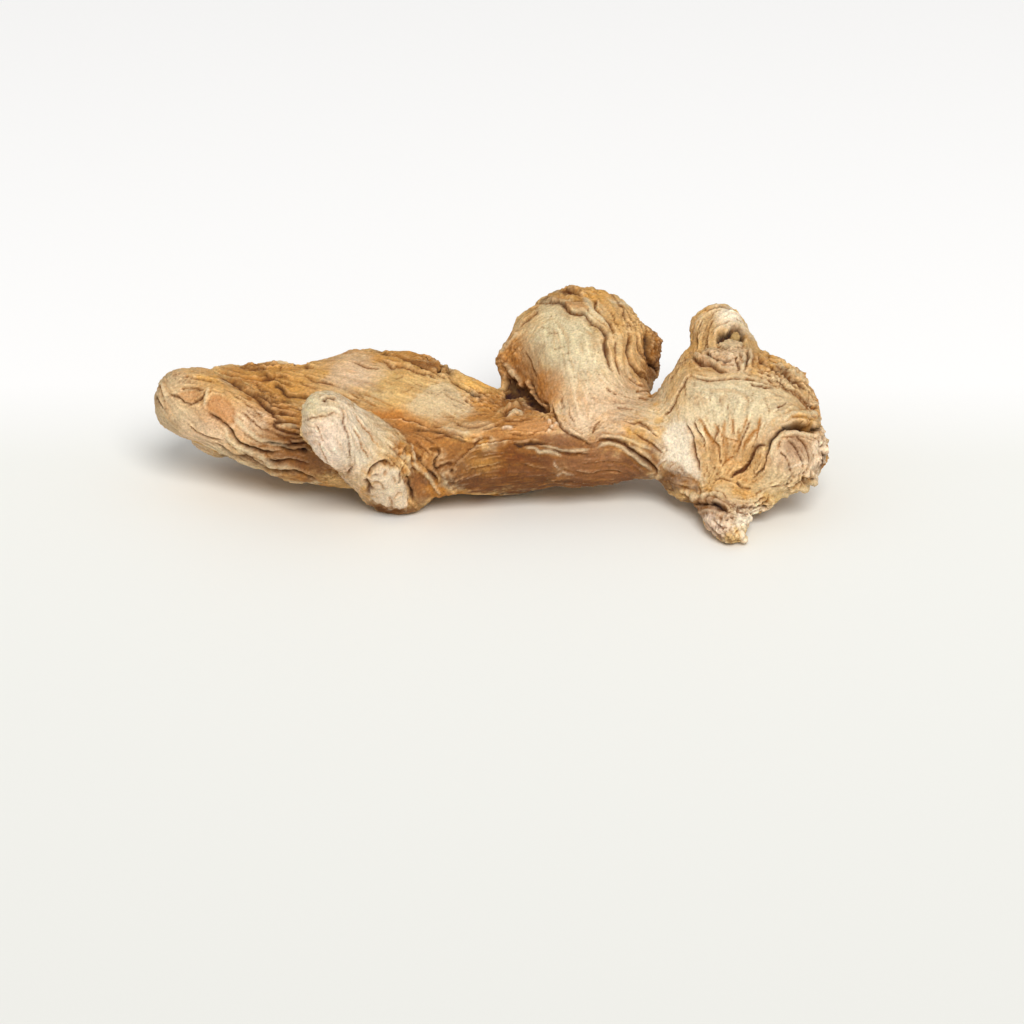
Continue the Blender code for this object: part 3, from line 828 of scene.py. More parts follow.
def draw_neck():
    wash("ochre", 2, 19.5, 5, 1.8, calm=0.3, strength=1.6)
    # The brown, purple-brown and umber washes on the neck are painted shade on its front and underside,
    # under the overhang.
    wash("brown", -1, 12, 3.5, 2.4, calm=0.4, strength=4)
    wash("brown", 5, 13.2, 6, 2.6, calm=0.4, strength=4)
    wash("purple_brown", 14, 13.2, 5.5, 2.4, calm=0.5, strength=3)
    wash("purple_brown", 21.5, 12, 4, 2.2, calm=0.4, strength=2)
    wash("umber", 8, 10.3, 14, 0.8)
    wash("gold", -1, 12.9, 2, 1.2, strength=4)
    wash("salmon", 6, 19.4, 3.6, 1.3, calm=0.3, strength=1.6)
    wash("umber", 6.8, 14.2, 2, 0.9, strength=1.6)
    wash("tan", 11.6, 12.4, 1, 1, strength=1.6)
    wash("umber", 23.6, 12.8, 2.4, 1.3, strength=2.5)
    step(0.5, 0.7, (4, 17), (2, 16.9), (0, 16.5), (-2, 16.2), (-3, 15.8), (-4, 14.9), (-5.5, 13.3),
        (-6, 12.3))
    furrow(0.35, 0.5, (-2.8, 16.3), (-2, 16.9), (-1, 17.2), (0.3, 17.4))
    furrow(0.5, 1, (3.6, 16.4), (4.8, 16), (6, 16.4), (7.5, 16.6), (9, 16.4), tint="dark")
    ridge(0.45, 0.5, (5.5, 15.7), (7, 15.8), (8, 15.2), (9.5, 15.1), (11.5, 14.7))
    ridge(0.4, 0.4, (8.5, 16), (10, 15.7), (12, 15.4), (14, 15.4), (16, 15.6))
    furrow(0.35, 0.6, (9.5, 15.4), (11.6, 15.1), (13.5, 14.8), (15.6, 14.9))
    patch("purple_brown", 0.8, -0.3, (8, 16.4), (8.5, 17.8), (11, 18), (13, 17.8), (16, 15.8), (13, 16),
        (10, 16.3))
    ridge(0.5, 0.4, (1.8, 18.6), (2.8, 18.9), (3.6, 18.7), tint="white")
    frill(0.5, 0.9, (0.8, 21.2), (2.2, 22), (3.6, 22.6), (4.6, 22.2), tint="tan")
    frill(0.45, 0.8, (2.6, 20.7), (4, 21.4), (5.4, 21.2), tint="cream")
    furrow(0.45, 0.8, (0.6, 20.4), (2.2, 21.1), (3.8, 21.9), (5.2, 21.7))
    for u, v in ((9.3, 20.2), (9.9, 19.4), (9.4, 18.7), (10.4, 19.9)):
        ridge(0.45, 0.7, (u, v), (u + 0.1, v), tint="white")
    furrow(0.35, 0.5, (3.2, 18), (4.8, 17.7), (6.6, 18), (7.8, 18.8), tint="brown")
    furrow(0.35, 0.4, (1.5, 20.2), (3.4, 19.9), (5.4, 20.3), (7.2, 20.9), tint="brown")
    ridge(0.35, 0.35, (10.5, 14), (10.8, 13.2), (11.5, 12.3), (12.3, 11.6), (13.5, 11.2), tint="pink")
    ridge(0.35, 0.3, (10.5, 11), (11.3, 11.4), (12, 11.7), tint="pink")
    furrow(0.3, 0.35, (-3.5, 13.6), (-1.5, 14.3), (1, 14.8), (3.6, 14.7))
    furrow(0.3, 0.35, (-4, 11.8), (-1.8, 12.4), (1.2, 12.9), (4.6, 13), (8, 12.8))
    furrow(0.3, 0.35, (14.2, 13.4), (16.4, 13.2), (18.8, 13.6), (21, 13.2))
    furrow(0.3, 0.35, (13.6, 12), (16.2, 11.6), (19.2, 11.8), (22.2, 11.2))
    furrow(0.55, 1.1, (17.2, 16.4), (17.7, 16.9), (19, 17.1), (20.5, 16.8), (21.7, 16.4), (22.5, 15.6),
        (24.5, 14.2), (25.5, 13.5), (26.5, 12.7), (27, 12), (26.8, 11.2))
    ridge(0.5, 0.6, (17.3, 15.9), (19, 16.4), (21, 15.9), (22.5, 14.9), (24, 13.9), (26.2, 12))
    ridge(0.45, 0.5, (18, 17.6), (20, 17.6), (22, 17.1), (24, 16.5), (26, 15.5))
    frill(0.45, 0.6, (22.8, 15.9), (24, 15.8), (25, 15), (26.2, 13.9))
    ridge(0.3, 0.35, (26.8, 12.8), (28.3, 13.6), (29.4, 14.4), tint="white")
    furrow(0.4, 0.6, (23.6, 18), (25.2, 17), (26.8, 15.8), (28, 14.8), tint="brown")
    furrow(0.35, 0.5, (24, 20), (25.6, 18.8), (27.2, 17.6), tint="brown")


def draw_bell():
    pull(2.6, 30, 12.5, 3.2, -2.4, -0.2)
    pull(5, 37, 15, 3.5, -1, 0.6)
    pull(26.8, 33.2, 14, 2.2, 0.9, 0.3)
    crust(3, 30.5, 2.4, 3.4, 0.5)
    crust(11, 41, 7, 1.4, 0.35)
    crust(23.5, 36, 3.6, 3, 0.35)
    crust(26.8, 32, 1.6, 4.2, 0.6)
    # Painted shade: the umber wash darkens the bell's right side.
    wash("umber", 26.4, 30.5, 0.9, 3, strength=1.6)
    crust(6, 25, 3, 2.6, 0.3)
    wash("greenish", 10.5, 34, 5, 4.5, calm=0.9, strength=1.5)
    wash("cream", 14.5, 29, 4.5, 4, calm=0.8, strength=1.2)
    wash("gold", 17, 41, 3.5, 1.2, calm=0.1)
    wash("brown", 10, 40.9, 3, 0.8)
    wash("gold", 6, 38, 1.6, 2)
    wash("tan", 20.5, 33, 2, 4, calm=0.3)
    wash("tan", 24, 33, 1.6, 3)
    wash("ochre", 26, 31, 1.2, 3)
    wash("ochre", 4, 31, 2.6, 3, calm=0.8, strength=1.5)
    wash("brown", 4.6, 28.6, 1.8, 1.8, calm=0.7)
    wash("orange", 9, 26.2, 3, 2.4, calm=0.4, strength=1.3)
    wash("pink", 18, 23.5, 5, 3.4, calm=0.6)
    wash("pink", 14, 19.5, 3, 1.6, calm=0.5)
    furrow(0.4, 0.7, (4.8, 35.5), (5.3, 36), (6.5, 37.2), (7.8, 38.2), tint="brown")
    furrow(0.5, 1, (7.6, 39.3), (9.5, 39.5), (11, 39.5), (12, 39), (12.5, 38.3), (13.3, 37.6), (14.3, 37.4),
        (15.3, 37.5), (15.8, 36.8), (16.6, 35.8), (17.5, 35), (18.2, 34.4), (18.7, 33.5), (18.6, 32.5),
        (18.8, 31), (19.1, 29.8), (19.2, 29), (19.8, 28.3))
    pit(0.18, 0.25, (13.9, 36), (17.6, 31.1), (14.8, 27.7), (17.6, 27.5), (9.8, 37.2))
    patch("orange", 0.7, 0.5, (12.2, 38.8), (13.4, 39.5), (15, 39.4), (15.9, 38.5), (15, 38), (13.2, 38.1),
        soft=0.3)
    furrow(0.4, 0.7, (12.3, 39.5), (13.8, 39.9), (15.4, 39.7), (16.4, 38.8))
    furrow(0.45, 0.8, (5.5, 38.4), (6, 38.8), (7.5, 39.6), (9.4, 40.3))
    furrow(0.5, 0.8, (7.8, 40.6), (9.8, 41.1), (12, 41.2), (14, 41), (15.2, 40.5))
    ridge(0.55, 0.6, (5.2, 39.1), (7.4, 40.3), (9.8, 40.6), (12.4, 40.4), (14.6, 40), tint="gold")
    ridge(0.6, 0.7, (15, 40.5), (16, 39), (17, 37.5), (18.5, 36), (19.5, 34.8))
    furrow(0.4, 0.8, (17, 40.4), (17, 39.6), (17.3, 38.6), (18.2, 37.3))
    furrow(0.4, 0.7, (18.6, 36.4), (19.5, 35.3), (20, 34.2))
    furrow(0.4, 0.7, (20.6, 39.4), (21.5, 38.2), (22, 36.5), (23, 35.2))
    ridge(0.5, 0.6, (18.5, 40), (19.8, 38.3), (20.5, 36.8), (21.4, 35.3), tint="gold")
    step(0.4, 0.5, (20, 34), (18.6, 34.3))
    furrow(0.5, 0.9, (22.5, 34.2), (22.4, 32.8), (22.3, 31.3), (22.5, 30.3), (23, 29.3), (23.8, 28.3),
        (25, 27.3), (25.6, 26.3))
    furrow(0.4, 0.7, (23.9, 34), (24, 32.5), (24.6, 30.8), (25.4, 29.4))
    furrow(0.7, 1.2, (25.2, 34.4), (25.3, 32), (25.6, 30.5), (26.3, 29), (27.6, 27.3), tint="dark")
    ridge(0.5, 0.5, (23.2, 34), (23.2, 32.5), (23.4, 30.8), (24.2, 29), tint="tan")
    ridge(0.5, 0.5, (21.2, 34), (21.2, 32), (21.1, 30), (21.8, 28.2), tint="tan")
    furrow(0.35, 0.5, (20.4, 33.2), (20.2, 31.4), (20.5, 29.4), (21, 27.6), tint="brown")
    furrow(0.35, 0.5, (22.5, 27.3), (24, 26.2), (25, 25.9), tint="brown")
    furrow(0.3, 0.5, (23.5, 24.9), (24.7, 25.2), (26, 25), (26.6, 24.6), tint="brown")
    furrow(0.3, 0.4, (24.2, 24), (25.5, 23.9), (26.6, 23.4), tint="brown")
    furrow(0.3, 0.4, (20.5, 22.1), (21.8, 22.2), (23.4, 21.7), tint="brown")
    furrow(0.3, 0.4, (18.6, 25.6), (19.6, 24.8), (20.9, 24.4), tint="brown")
    furrow(0.3, 0.4, (21.5, 20), (23.2, 19.6), (25, 19.9), tint="brown")
    patch("umber_tan", 0.25, 0, (1.5, 30.5), (4.5, 33.5), (7, 33.2), (9, 32.6), (9.6, 30), (9, 28.4),
        (7.4, 27), (5.4, 26.4), (3.6, 27.8), soft=0.6)
    patch("orange", 0.35, 0.1, (6.8, 25.5), (8.4, 28), (10.5, 28.8), (12.2, 27.8), (11.6, 26), (10.6, 24),
        (9.2, 22.4), (7.6, 23.6), soft=0.9)
    frill(0.6, 0.8, (2, 29.5), (3, 28.8), (4, 27.5), (5, 26.4))
    frill(0.5, 0.7, (1.6, 31), (3, 33), (4.6, 34.6))
    step(0.5, 0.8, (9.5, 22.6), (8.5, 23), (7.5, 24.3), (6.7, 25.5), (6.2, 27.2))
    # Painted shadow in the hollow under the bell's left flap, which is also sunk.
    patch("dark", 0.85, -1.2, (2.4, 27.3), (3.7, 27.3), (4.7, 26), (6, 25.4), (8, 23), (9.3, 22.2),
        (9, 21.6), (7, 22), (5.5, 24), (3, 24.2), (2.2, 25))
    furrow(0.35, 0.4, (5.6, 31.6), (6.6, 30), (7, 28.4), (7.4, 27.2), tint="brown")
    furrow(0.45, 0.8, (10, 22.8), (10.2, 21.5), (11, 19.8), (11.8, 18.8), (13, 18), (14.5, 17.2),
        (16.3, 15.9))
    furrow(0.35, 0.6, (16.3, 17.8), (17, 19.2), (17.8, 20), tint="brown")
    furrow(0.3, 0.4, (12.6, 22.8), (12.9, 21.2), (13.7, 19.8), tint="brown")


def draw_knob_top():
    crust(37, 30.3, 5, 1.6, 0.25)
    crust(48.5, 28, 5, 2.6, 0.8)
    crust(53.3, 22.5, 1.8, 4.4, 0.9)
    wash("tan", 36, 34, 2, 3, calm=0.2)
    wash("gold", 33, 31.5, 1.6, 2.5)
    wash("white", 39, 37.3, 1.8, 1.4, calm=0.5)
    wash("pink", 38, 30.2, 4, 1.4, strength=1.4)
    wash("tan", 35, 28.6, 3, 0.7)
    wash("gold", 45, 30, 3, 1.5)
    wash("tan", 50, 25.5, 3, 1.6)
    wash("tan", 30.5, 25, 1.6, 3.5, calm=0.5)
    wash("cream", 38, 23.5, 7, 3.2, calm=0.85, strength=1.6)
    wash("beige", 47.5, 24, 3, 2.4, calm=0.6)
    furrow(0.35, 0.6, (36.3, 36.9), (35.7, 35.5), (35.3, 34), (35, 32.8), (34.8, 31.6))
    furrow(0.35, 0.6, (34, 34.8), (33.5, 33.5), (33.5, 32.4), (33.2, 31.4))
    furrow(0.35, 0.5, (34.6, 38), (36, 38.6), (37.5, 38.9), (39.2, 38.6))
    furrow(0.6, 1.1, (36.8, 33), (37, 33.7), (37.6, 34.3), (38.4, 34.3), (39, 34.7), (39.6, 35.3),
        (40.3, 35.2), (40.9, 34.3), (41, 33.5), tint="dark")
    ridge(0.5, 0.7, (36.2, 34), (36.9, 35), (38, 35.4), (39.2, 36.1), (40.4, 36.2), (41.2, 35.2))
    # Painted shadow in the arch-shaped hollow beside the bud, which is also sunk.
    patch("dark", 1, -0.9, (36.9, 32.9), (37.2, 34), (38.2, 34.4), (38.8, 35.1), (39.9, 35.6), (40.9, 34.9),
        (41.2, 33.4), (40.7, 32.8), (38.8, 33.2), soft=0.25)
    patch("straw", 0.85, 1, (39.3, 33.4), (39.3, 34.4), (40, 34.8), (40.6, 34.2), (40.5, 33.4), soft=0.3)
    patch("beige", 0.7, 0.6, (37.2, 32.5), (38.2, 33.2), (39.3, 33.1), (40.6, 32.8), (40.6, 32), (38, 31.8),
        soft=0.3)
    frill(0.4, 0.8, (32.6, 31.3), (34, 30.5), (35.5, 30.2), (36.5, 29.6), (37.8, 29.1), (39, 29))
    frill(0.35, 0.6, (35.2, 31.7), (36.3, 31), (37.3, 30.8), (38.6, 30.9))
    furrow(0.5, 1, (32.8, 30.4), (34.2, 29.6), (35.8, 29.3), (37, 28.6), (38.6, 28.2))
    furrow(0.45, 0.9, (35, 31), (36.2, 30.3), (37.6, 30), (39, 30), tint="dark")
    furrow(0.4, 0.8, (39.7, 30.6), (40.1, 29.4), (40.2, 28.2))
    ridge(0.5, 0.8, (41, 31.4), (41.3, 29.8), (40.9, 28.3))
    ridge(0.4, 0.6, (42.2, 31.6), (42.3, 30.2), (42, 29))
    furrow(0.4, 0.8, (41.8, 31.6), (41.8, 30.2), (41.5, 28.6), tint="dark")
    furrow(0.55, 1, (43.2, 30.9), (44, 29.8), (45, 29), (46.3, 28.4), (47.6, 27.8), (48.6, 27), (50, 26),
        (51.4, 25))
    pit(0.6, 0.9, (45.3, 31), tint="dark")
    ridge(0.4, 0.5, (44.3, 31.3), (45.2, 31.8), (46.3, 31.3))
    ridge(0.38, 0.6, (45.2, 29.8), (47, 28.8), (48.5, 27.9), (50, 27.1), (51.8, 26.2), (52.9, 24.8))
    frill(0.3, 0.5, (46.8, 30), (48.4, 28.9), (50.2, 28), (52, 26.9), (53.2, 25.4))
    furrow(0.35, 0.6, (32.5, 27.6), (34.5, 27), (36, 27), (38, 27.1), (41, 27), (43.5, 26.7), tint="brown")
    ridge(0.45, 0.4, (33.5, 28.2), (36, 27.8), (39, 27.8), (42, 27.4), (44, 26.6), tint="tan")
    furrow(0.35, 0.6, (42, 26.5), (43, 25.9), (44.3, 25.5), (46, 25.4), tint="brown")
    step(0.45, 0.5, (28, 21), (29.5, 22.5), (30.5, 24.5), (31.5, 26), (32.5, 27.8), tint="brown")
    furrow(0.35, 0.5, (29.2, 26.2), (30.2, 28), (31.2, 29.8), tint="brown")
    furrow(0.3, 0.45, (46.5, 22.2), (47.5, 22.5), (48.2, 23.3), tint="brown")
    furrow(0.35, 0.5, (46, 26.8), (47.8, 25.6), (49.6, 24.4), (51, 23.2), tint="brown")
    furrow(0.35, 0.5, (49, 25.2), (50.6, 24), (52, 22.6), tint="brown")


def draw_knob_lower():
    crust(54.6, 15, 1.7, 4.5, 0.8)
    crust(51.5, 10.2, 4, 1.8, 0.8)
    crust(44, 6, 3.5, 2.4, 0.5)
    crust(34.5, 8, 4, 1.6, 0.5)
    crust(38.8, 2, 3.5, 3.5, 0.4)
    wash("cream", 39, 19, 5, 3, calm=0.4)
    wash("tan", 40, 13, 4, 3)
    wash("white", 30.8, 16, 1.8, 3.5, calm=0.7, strength=1.6)
    wash("brown", 30, 11, 2.5, 1.6)
    wash("beige", 46.5, 10.5, 3, 2, calm=0.3)
    wash("pink", 49, 14.5, 3.2, 3.2, calm=0.4, strength=1.4)
    wash("white", 54, 14, 1.2, 3.5, calm=0.2)
    patch("purple_brown", 0.5, -0.1, (48, 14.6), (48.3, 16.8), (49.8, 17.7), (51.5, 17), (51.8, 15.4),
        (50.4, 14), soft=0.8)
    wash("pink", 53.5, 14.5, 1.6, 3, calm=0.3)
    wash("lavender", 36, 3, 2, 2.5, calm=0.3)
    wash("purple_brown", 35, 6, 3, 1)
    wash("white", 42.5, 4.6, 2, 1.2)
    furrow(0.45, 0.8, (31.8, 20), (32.2, 19), (32.8, 17.5), (33, 16), (33.3, 14.5), (33.9, 13.5),
        (34.1, 12), tint="brown")
    furrow(0.35, 0.6, (33.3, 20.5), (33.5, 19), (34.2, 17.8), (34.8, 17), (34.6, 16), (34, 15.6),
        tint="brown")
    furrow(0.35, 0.5, (35, 19.7), (34.9, 18.5), (35.4, 17.4), tint="orange")
    furrow(0.4, 0.6, (37.3, 20), (36.9, 18.5), (36.4, 17.3), (36, 16.2), tint="brown")
    furrow(0.4, 0.6, (36, 16.6), (36.8, 16.2), (37.2, 15.5), (37.2, 14.3), (37.6, 13), tint="brown")
    furrow(0.35, 0.5, (38.2, 17.4), (39, 17.2), (40, 16.8), tint="orange")
    furrow(0.35, 0.5, (39.5, 14.5), (38.8, 14), (38, 13.3), tint="orange")
    furrow(0.45, 0.6, (42, 20), (41.5, 18.7), (41, 17.3), (40.5, 16.2), (40.2, 15), tint="brown")
    furrow(0.35, 0.5, (39.3, 20.6), (39.2, 19.2), (39.5, 18), tint="orange")
    furrow(0.35, 0.5, (43.8, 20.4), (43.4, 18.8), (43.5, 17.3), tint="orange")
    furrow(0.55, 1, (45, 16.3), (44, 16.2), (43.3, 15.9), (42.8, 15.2), (42.5, 14.5), (42.2, 13.5),
        (41.8, 12.7), (40.5, 12), (39.5, 11.5), (38.5, 10.8))
    furrow(0.4, 0.7, (45, 15.5), (44.7, 14.5), (44.6, 13.5), (44.3, 12.5), (43.7, 11.8), (42.6, 10.8))
    furrow(0.6, 1.1, (48.6, 19.2), (47.5, 18.9), (46.5, 18.1), (45.8, 17.3), (45.2, 16.2), (45.1, 14.6),
        tint="dark")
    for k in range(8):
        top, low = 33.8 + 1.5 * k + 0.6 * math.sin(5.3 * k), 36.4 + 0.75 * k
        height = 20.0 + 1.3 * math.sin(2.7 * k + 1.0)
        foot = 15.6 + 1.2 * math.sin(3.1 * k)
        halfway = (0.5 * (top + low) + 0.5 * math.sin(3.7 * k), 0.5 * (height + foot))
        furrow(0.5, 0.35, (top, height), halfway, (low, foot), tint="ochre")
    wash("ochre", 39, 16.4, 3.6, 1.8, calm=0.3, strength=0.7)
    furrow(0.35, 0.6, (36.5, 10.3), (37, 10.8), (37.8, 10.9), (38.8, 10.3))
    furrow(0.35, 0.6, (39.8, 10.3), (41, 9.4), (42.4, 9.4))
    patch("white", 0.7, 0.15, (28.7, 19.4), (30, 20), (31.6, 19.5), (32.6, 17), (32.9, 15), (33.6, 13.3),
        (34, 11.5), (33.6, 10.5), (32, 12), (31, 13), (29.5, 13.5), (28.4, 15))
    frill(0.5, 1, (30.4, 9.2), (31.5, 8.7), (33, 8.3), (34.6, 8), (36, 8.4), (37.2, 8.2), (38.2, 7.4))
    furrow(0.7, 1.3, (31.5, 7), (33, 6.8), (34.6, 6.7), (36.5, 6.6), (38, 6), (39, 5.4), tint="dark")
    ridge(0.45, 0.6, (33.5, 5.3), (35, 5.5), (36.6, 5.4), (38, 4.9), tint="pink")
    pit(0.5, 0.9, (37.3, 4.3), (38.4, 4), (39.3, 4.6))
    frill(0.6, 0.9, (41, 5), (40.3, 3.2), (41, 1.6), (41, 0.2), (40.2, -0.6), tint="white")
    furrow(0.4, 0.7, (35, 3.6), (36.4, 2), (38, 0.6), tint="brown")
    furrow(0.35, 0.5, (36.6, 3.6), (37.8, 2.2), (39.2, 0.6), tint="brown")
    ridge(0.6, 0.8, (41, 4.4), (42, 4.1), (43.2, 4.2), (44.4, 4.8), tint="white")
    pit(0.5, 1, (44.6, 6), (45, 5.1), tint="dark")
    furrow(0.4, 0.8, (40.2, 6.3), (41.8, 6), (43.4, 6.4), (45, 7.2), (45.3, 8))
    frill(0.5, 0.8, (39.6, 7.4), (41.4, 7.2), (43.2, 7.8), (44.6, 8.6))
    # Painted shadow in this deep groove, which is also sunk, with the dark furrow along it.
    patch("dark", 0.95, -1.3, (48.4, 18.7), (50, 18.8), (51.6, 18.7), (53.6, 18.9), (53.8, 19.9),
        (51.4, 20), (50, 20.1), (48.7, 19.6), soft=0.25)
    furrow(0.4, 0.9, (47.1, 19.4), (48, 19.2), (49, 19.6), tint="dark")
    ridge(0.5, 0.7, (47.6, 20.2), (49, 21.2), (50.6, 21.5), (52.6, 21), (53.6, 20.6))
    ridge(0.5, 0.6, (45.9, 14), (46, 15.5), (46.6, 17.2), (47.8, 17.9), (49.4, 18.1), (51.4, 18),
        (53.6, 18.1))
    furrow(0.9, 1.2, (48.4, 19.2), (50.2, 19.5), (52, 19.3), (53.6, 19.6), tint="dark")
    furrow(0.35, 0.6, (48, 17.4), (49.4, 16), (50.4, 14.2), (50.8, 12.6))
    furrow(0.35, 0.6, (49.8, 17.8), (51, 16.6), (51.8, 15), (52, 13.4))
    furrow(0.3, 0.5, (47, 15.4), (48, 14.2), (48.8, 12.6), (49, 11.4), tint="brown")
    ridge(0.3, 0.3, (48.5, 12.5), (50.2, 13.2), (52, 13.5), tint="white")
    furrow(0.45, 0.9, (54.4, 15.5), (54.3, 13.8), (53.7, 12.1))
    frill(0.5, 0.9, (54.9, 17.6), (55, 15.6), (54.6, 13.2), (53.4, 11.2), (51.6, 9.9), tint="white")
    frill(0.5, 0.9, (52.6, 11), (51.2, 9.8), (49.4, 8.8), (47.4, 7.8))
    furrow(0.4, 0.8, (51.9, 11.5), (51.2, 10.6), (50, 9.8), (48.6, 9.2))
    furrow(0.3, 0.5, (45, 9.3), (46.5, 9.5), (48, 9.7), (48.5, 11), tint="brown")


def draw_hairlines():
    """Fine drying cracks across the knob, the bell and the body, and long ones along its left end."""
    for k in range(9):
        u, v = 31.6 + 1.9 * k + 0.5 * math.sin(4.1 * k), 26.2 - 0.35 * k + 0.8 * math.sin(1.3 * k)
        length = 2.2 + 1.2 * math.sin(2.9 * k + 1.0)
        furrow(0.25, 0.18, (u, v), (u + 0.6 * math.sin(3.0 * k), v - length), tint="brown")
    for k in range(7):
        u, v = 8.0 + 1.1 * k, 35.4 - 1.5 * k + 0.8 * math.sin(2.1 * k)
        furrow(0.25, 0.2, (u, v), (u + 1.6 + 0.6 * math.sin(k), v - 0.5 * math.sin(2.0 * k)), tint="brown")
    for k in range(9):
        u, v = -17.5 + 1.6 * k, 26.8 - 0.45 * k + 1.1 * math.sin(2.4 * k)
        furrow(0.25, 0.2, (u, v), (u + 1.7, v - 0.9 * math.cos(1.9 * k)), tint="brown")
    for k in range(12):
        u, v = -39.8 + 0.62 * k + 1.3 * math.sin(2.3 * k), 28.4 - 1.05 * k
        length = 4.2 + 1.8 * math.sin(1.7 * k)
        bend = 0.3 * math.sin(k)
        third = (u + 0.35 * length, v - 0.3 + bend)
        two_thirds = (u + 0.7 * length, v - 0.7 - bend)
        furrow(0.35, 0.5, (u, v), third, two_thirds, (u + length, v - 1.3))


def draw_everything():
    """Draws the marks, each on the skin that it belongs to."""
    marks.lobe = FINGER
    draw_short_finger()
    marks.lobe = ANY
    draw_short_finger_base()
    marks.lobe = REST
    draw_long_finger()
    draw_left_body()
    draw_body_top()
    draw_neck()
    draw_bell()
    draw_knob_top()
    draw_knob_lower()
    draw_hairlines()


# ---------------------------------------------------------------- colour


def blend(colour, name, amount):
    """The colour with that amount, from 0 to 1, of a palette colour laid over it."""
    amount = np.clip(amount, 0.0, 1.0)[:, None]
    return colour * (1 - amount) + linear(name) * amount


def wash_weights(marks, co, chart, seen, shares):
    """How strongly each wash counts at each point. A wash has a ragged, mottled edge."""
    ragged = np.exp(0.8 * noise(co, 2.6, 115) + 0.7 * noise(co, 0.9, 116) + 0.5 * noise(co, 0.4, 117))
    weights = []
    for _, u, v, across, up, _, strength, lobe in marks.washes:
        square = ((chart[:, 0] - u) / across) ** 2 + ((chart[:, 1] - v) / up) ** 2
        weights.append(strength * np.exp(-square * ragged) * seen * shares[lobe])
    return weights


def wrinkle_amount(marks, weights, co, seen):
    """1 where the skin is fully wrinkled, near 0 where it is calm."""
    calm = sum(weight * row[5] for weight, row in zip(weights, marks.washes))
    calm_on_the_back = 0.7 * (1.0 - seen) * smoothstep(-0.1, 0.5, noise(co, 9.0, 114))
    return (1.0 - calm / (sum(weights) + CALM_HALF)) * (1.0 - calm_on_the_back)


def blotched(co):
    """The skin's colour where nothing is drawn."""
    colour = np.tile(linear("tan"), (len(co), 1))
    for name, start, size, seed in BLOTCHES:
        blotch = noise(co, size, seed) + 0.3 * noise(co, 1.3, seed + 20)
        colour = blend(colour, name, smoothstep(start, start + BLOTCH_EDGE, blotch))
    return colour


def washed(colour, marks, weights):
    """The colour with the washes laid over it."""
    total = sum(weights)
    mixed = sum(weight[:, None] * linear(row[0]) for weight, row in zip(weights, marks.washes))
    share = (total / (total + WASH_HALF))[:, None]
    return colour * (1 - share) + mixed / np.maximum(total, 1e-9)[:, None] * share


def streaked(colour, co, streak):
    """Ochre and brown along the fine wrinkles, and a soft mottle."""
    colour = blend(colour, "ochre", 0.30 * smoothstep(0.3, 1.8, streak))
    hairs = smoothstep(0.25, 0.0, np.abs(streak)) * smoothstep(-0.2, 0.6, noise(co, 2.5, 33))
    colour = blend(colour, "brown", 0.35 * hairs)
    mottle = noise(co, 9.0, 31) + 0.7 * noise(co, 3.5, 32) + 0.8 * noise(co, 1.2, 34)
    return colour * (1.0 + 0.16 * smoothstep(0.3, 2.0, -streak))[:, None] * (1.0 + 0.10 * mottle)[:, None]


def painted_light_and_wear(colour, fields):
    """Painted highlight on the crests, painted warm shade in the dells and hollows, painted shadow at the
    finger's foot, and brown along the cracks and in the crusts' low spots.
    """
    crest, hollow, grit = fields["crest"], fields["hollow"], fields["grit"]
    # Painted highlight: the crests are made paler and brighter.
    colour = blend(colour, "cream", 0.18 * smoothstep(0.03, 0.16, crest))
    colour = colour * (1.0 + 0.3 * smoothstep(0.02, 0.16, crest))[:, None]
    shade = smoothstep(0.04, 0.6, fields["dell"])[:, None]
    colour = colour * (1.0 - shade + shade * np.array(WARM_SHADE))
    # Painted shade: the hollows are darkened in warm tints by their depth.
    for name, strength, start, full in PAINTED_HOLLOW_SHADE:
        colour = blend(colour, name, strength * smoothstep(start, full, hollow))
    colour = blend(colour, "brown", 0.75 * fields["cracks"])
    # Painted shadow where the short finger meets the rest of the root.
    colour = blend(colour, "umber", 0.5 * fields["finger_foot_shadow"] ** 3)
    colour = colour * (1.0 + 0.11 * grit)[:, None]
    # Browner where the grit is low inside the crusts.
    crust_lows = smoothstep(0.25, 0.9, -grit) * np.minimum(1.0, 3 * fields["crusty"])
    return blend(colour, "brown", 0.5 * crust_lows)


def paint(skin, marks, weights, tints, fields):
    """Gives the mesh its colour at each point, in linear light."""
    colour = washed(blotched(skin.co), marks, weights)
    colour = painted_light_and_wear(streaked(colour, skin.co, fields["fine"]), fields)
    for name, amount in tints:
        colour = blend(colour, name, 0.95 * amount)
    rgba = np.ones((skin.count, 4), np.float32)
    rgba[:, :3] = np.clip(colour, 0.01, 0.95)
    layer = skin.obj.data.color_attributes.new("skin", "FLOAT_COLOR", "POINT")
    layer.data.foreach_set("color", rgba.ravel())


# ---------------------------------------------------------------- sculpting


def shaped_body(marks):
    """The body before its skin is sculpted, smoothed and pulled into shape, and its grain."""
    obj = copy_of_body()
    remesh(obj, COARSE_VOXEL)
    coarse = Surface(obj, FACET_ROUNDS)
    pull_shape(marks, coarse)
    grain = Grain(coarse, marks, on_chart(coarse.co), facing_chart(coarse))
    remesh(obj, FINE_VOXEL)
    return obj, grain


def crack_amount(skin, grain, wrinkled):
    """Drying cracks along the grain, where it lies in the skin and the skin isn't calm."""
    veins = np.abs(grain.combed(skin.co, *VEINS))
    cracks = smoothstep(0.26, 0.06, veins) * smoothstep(-0.05, 0.45, noise(skin.co, 3.0, 110))
    upright = np.abs((grain.at(skin.co) * skin.normals).sum(axis=1))
    return cracks * (smoothstep(0.75, 0.35, upright) * (0.15 + 0.85 * wrinkled))


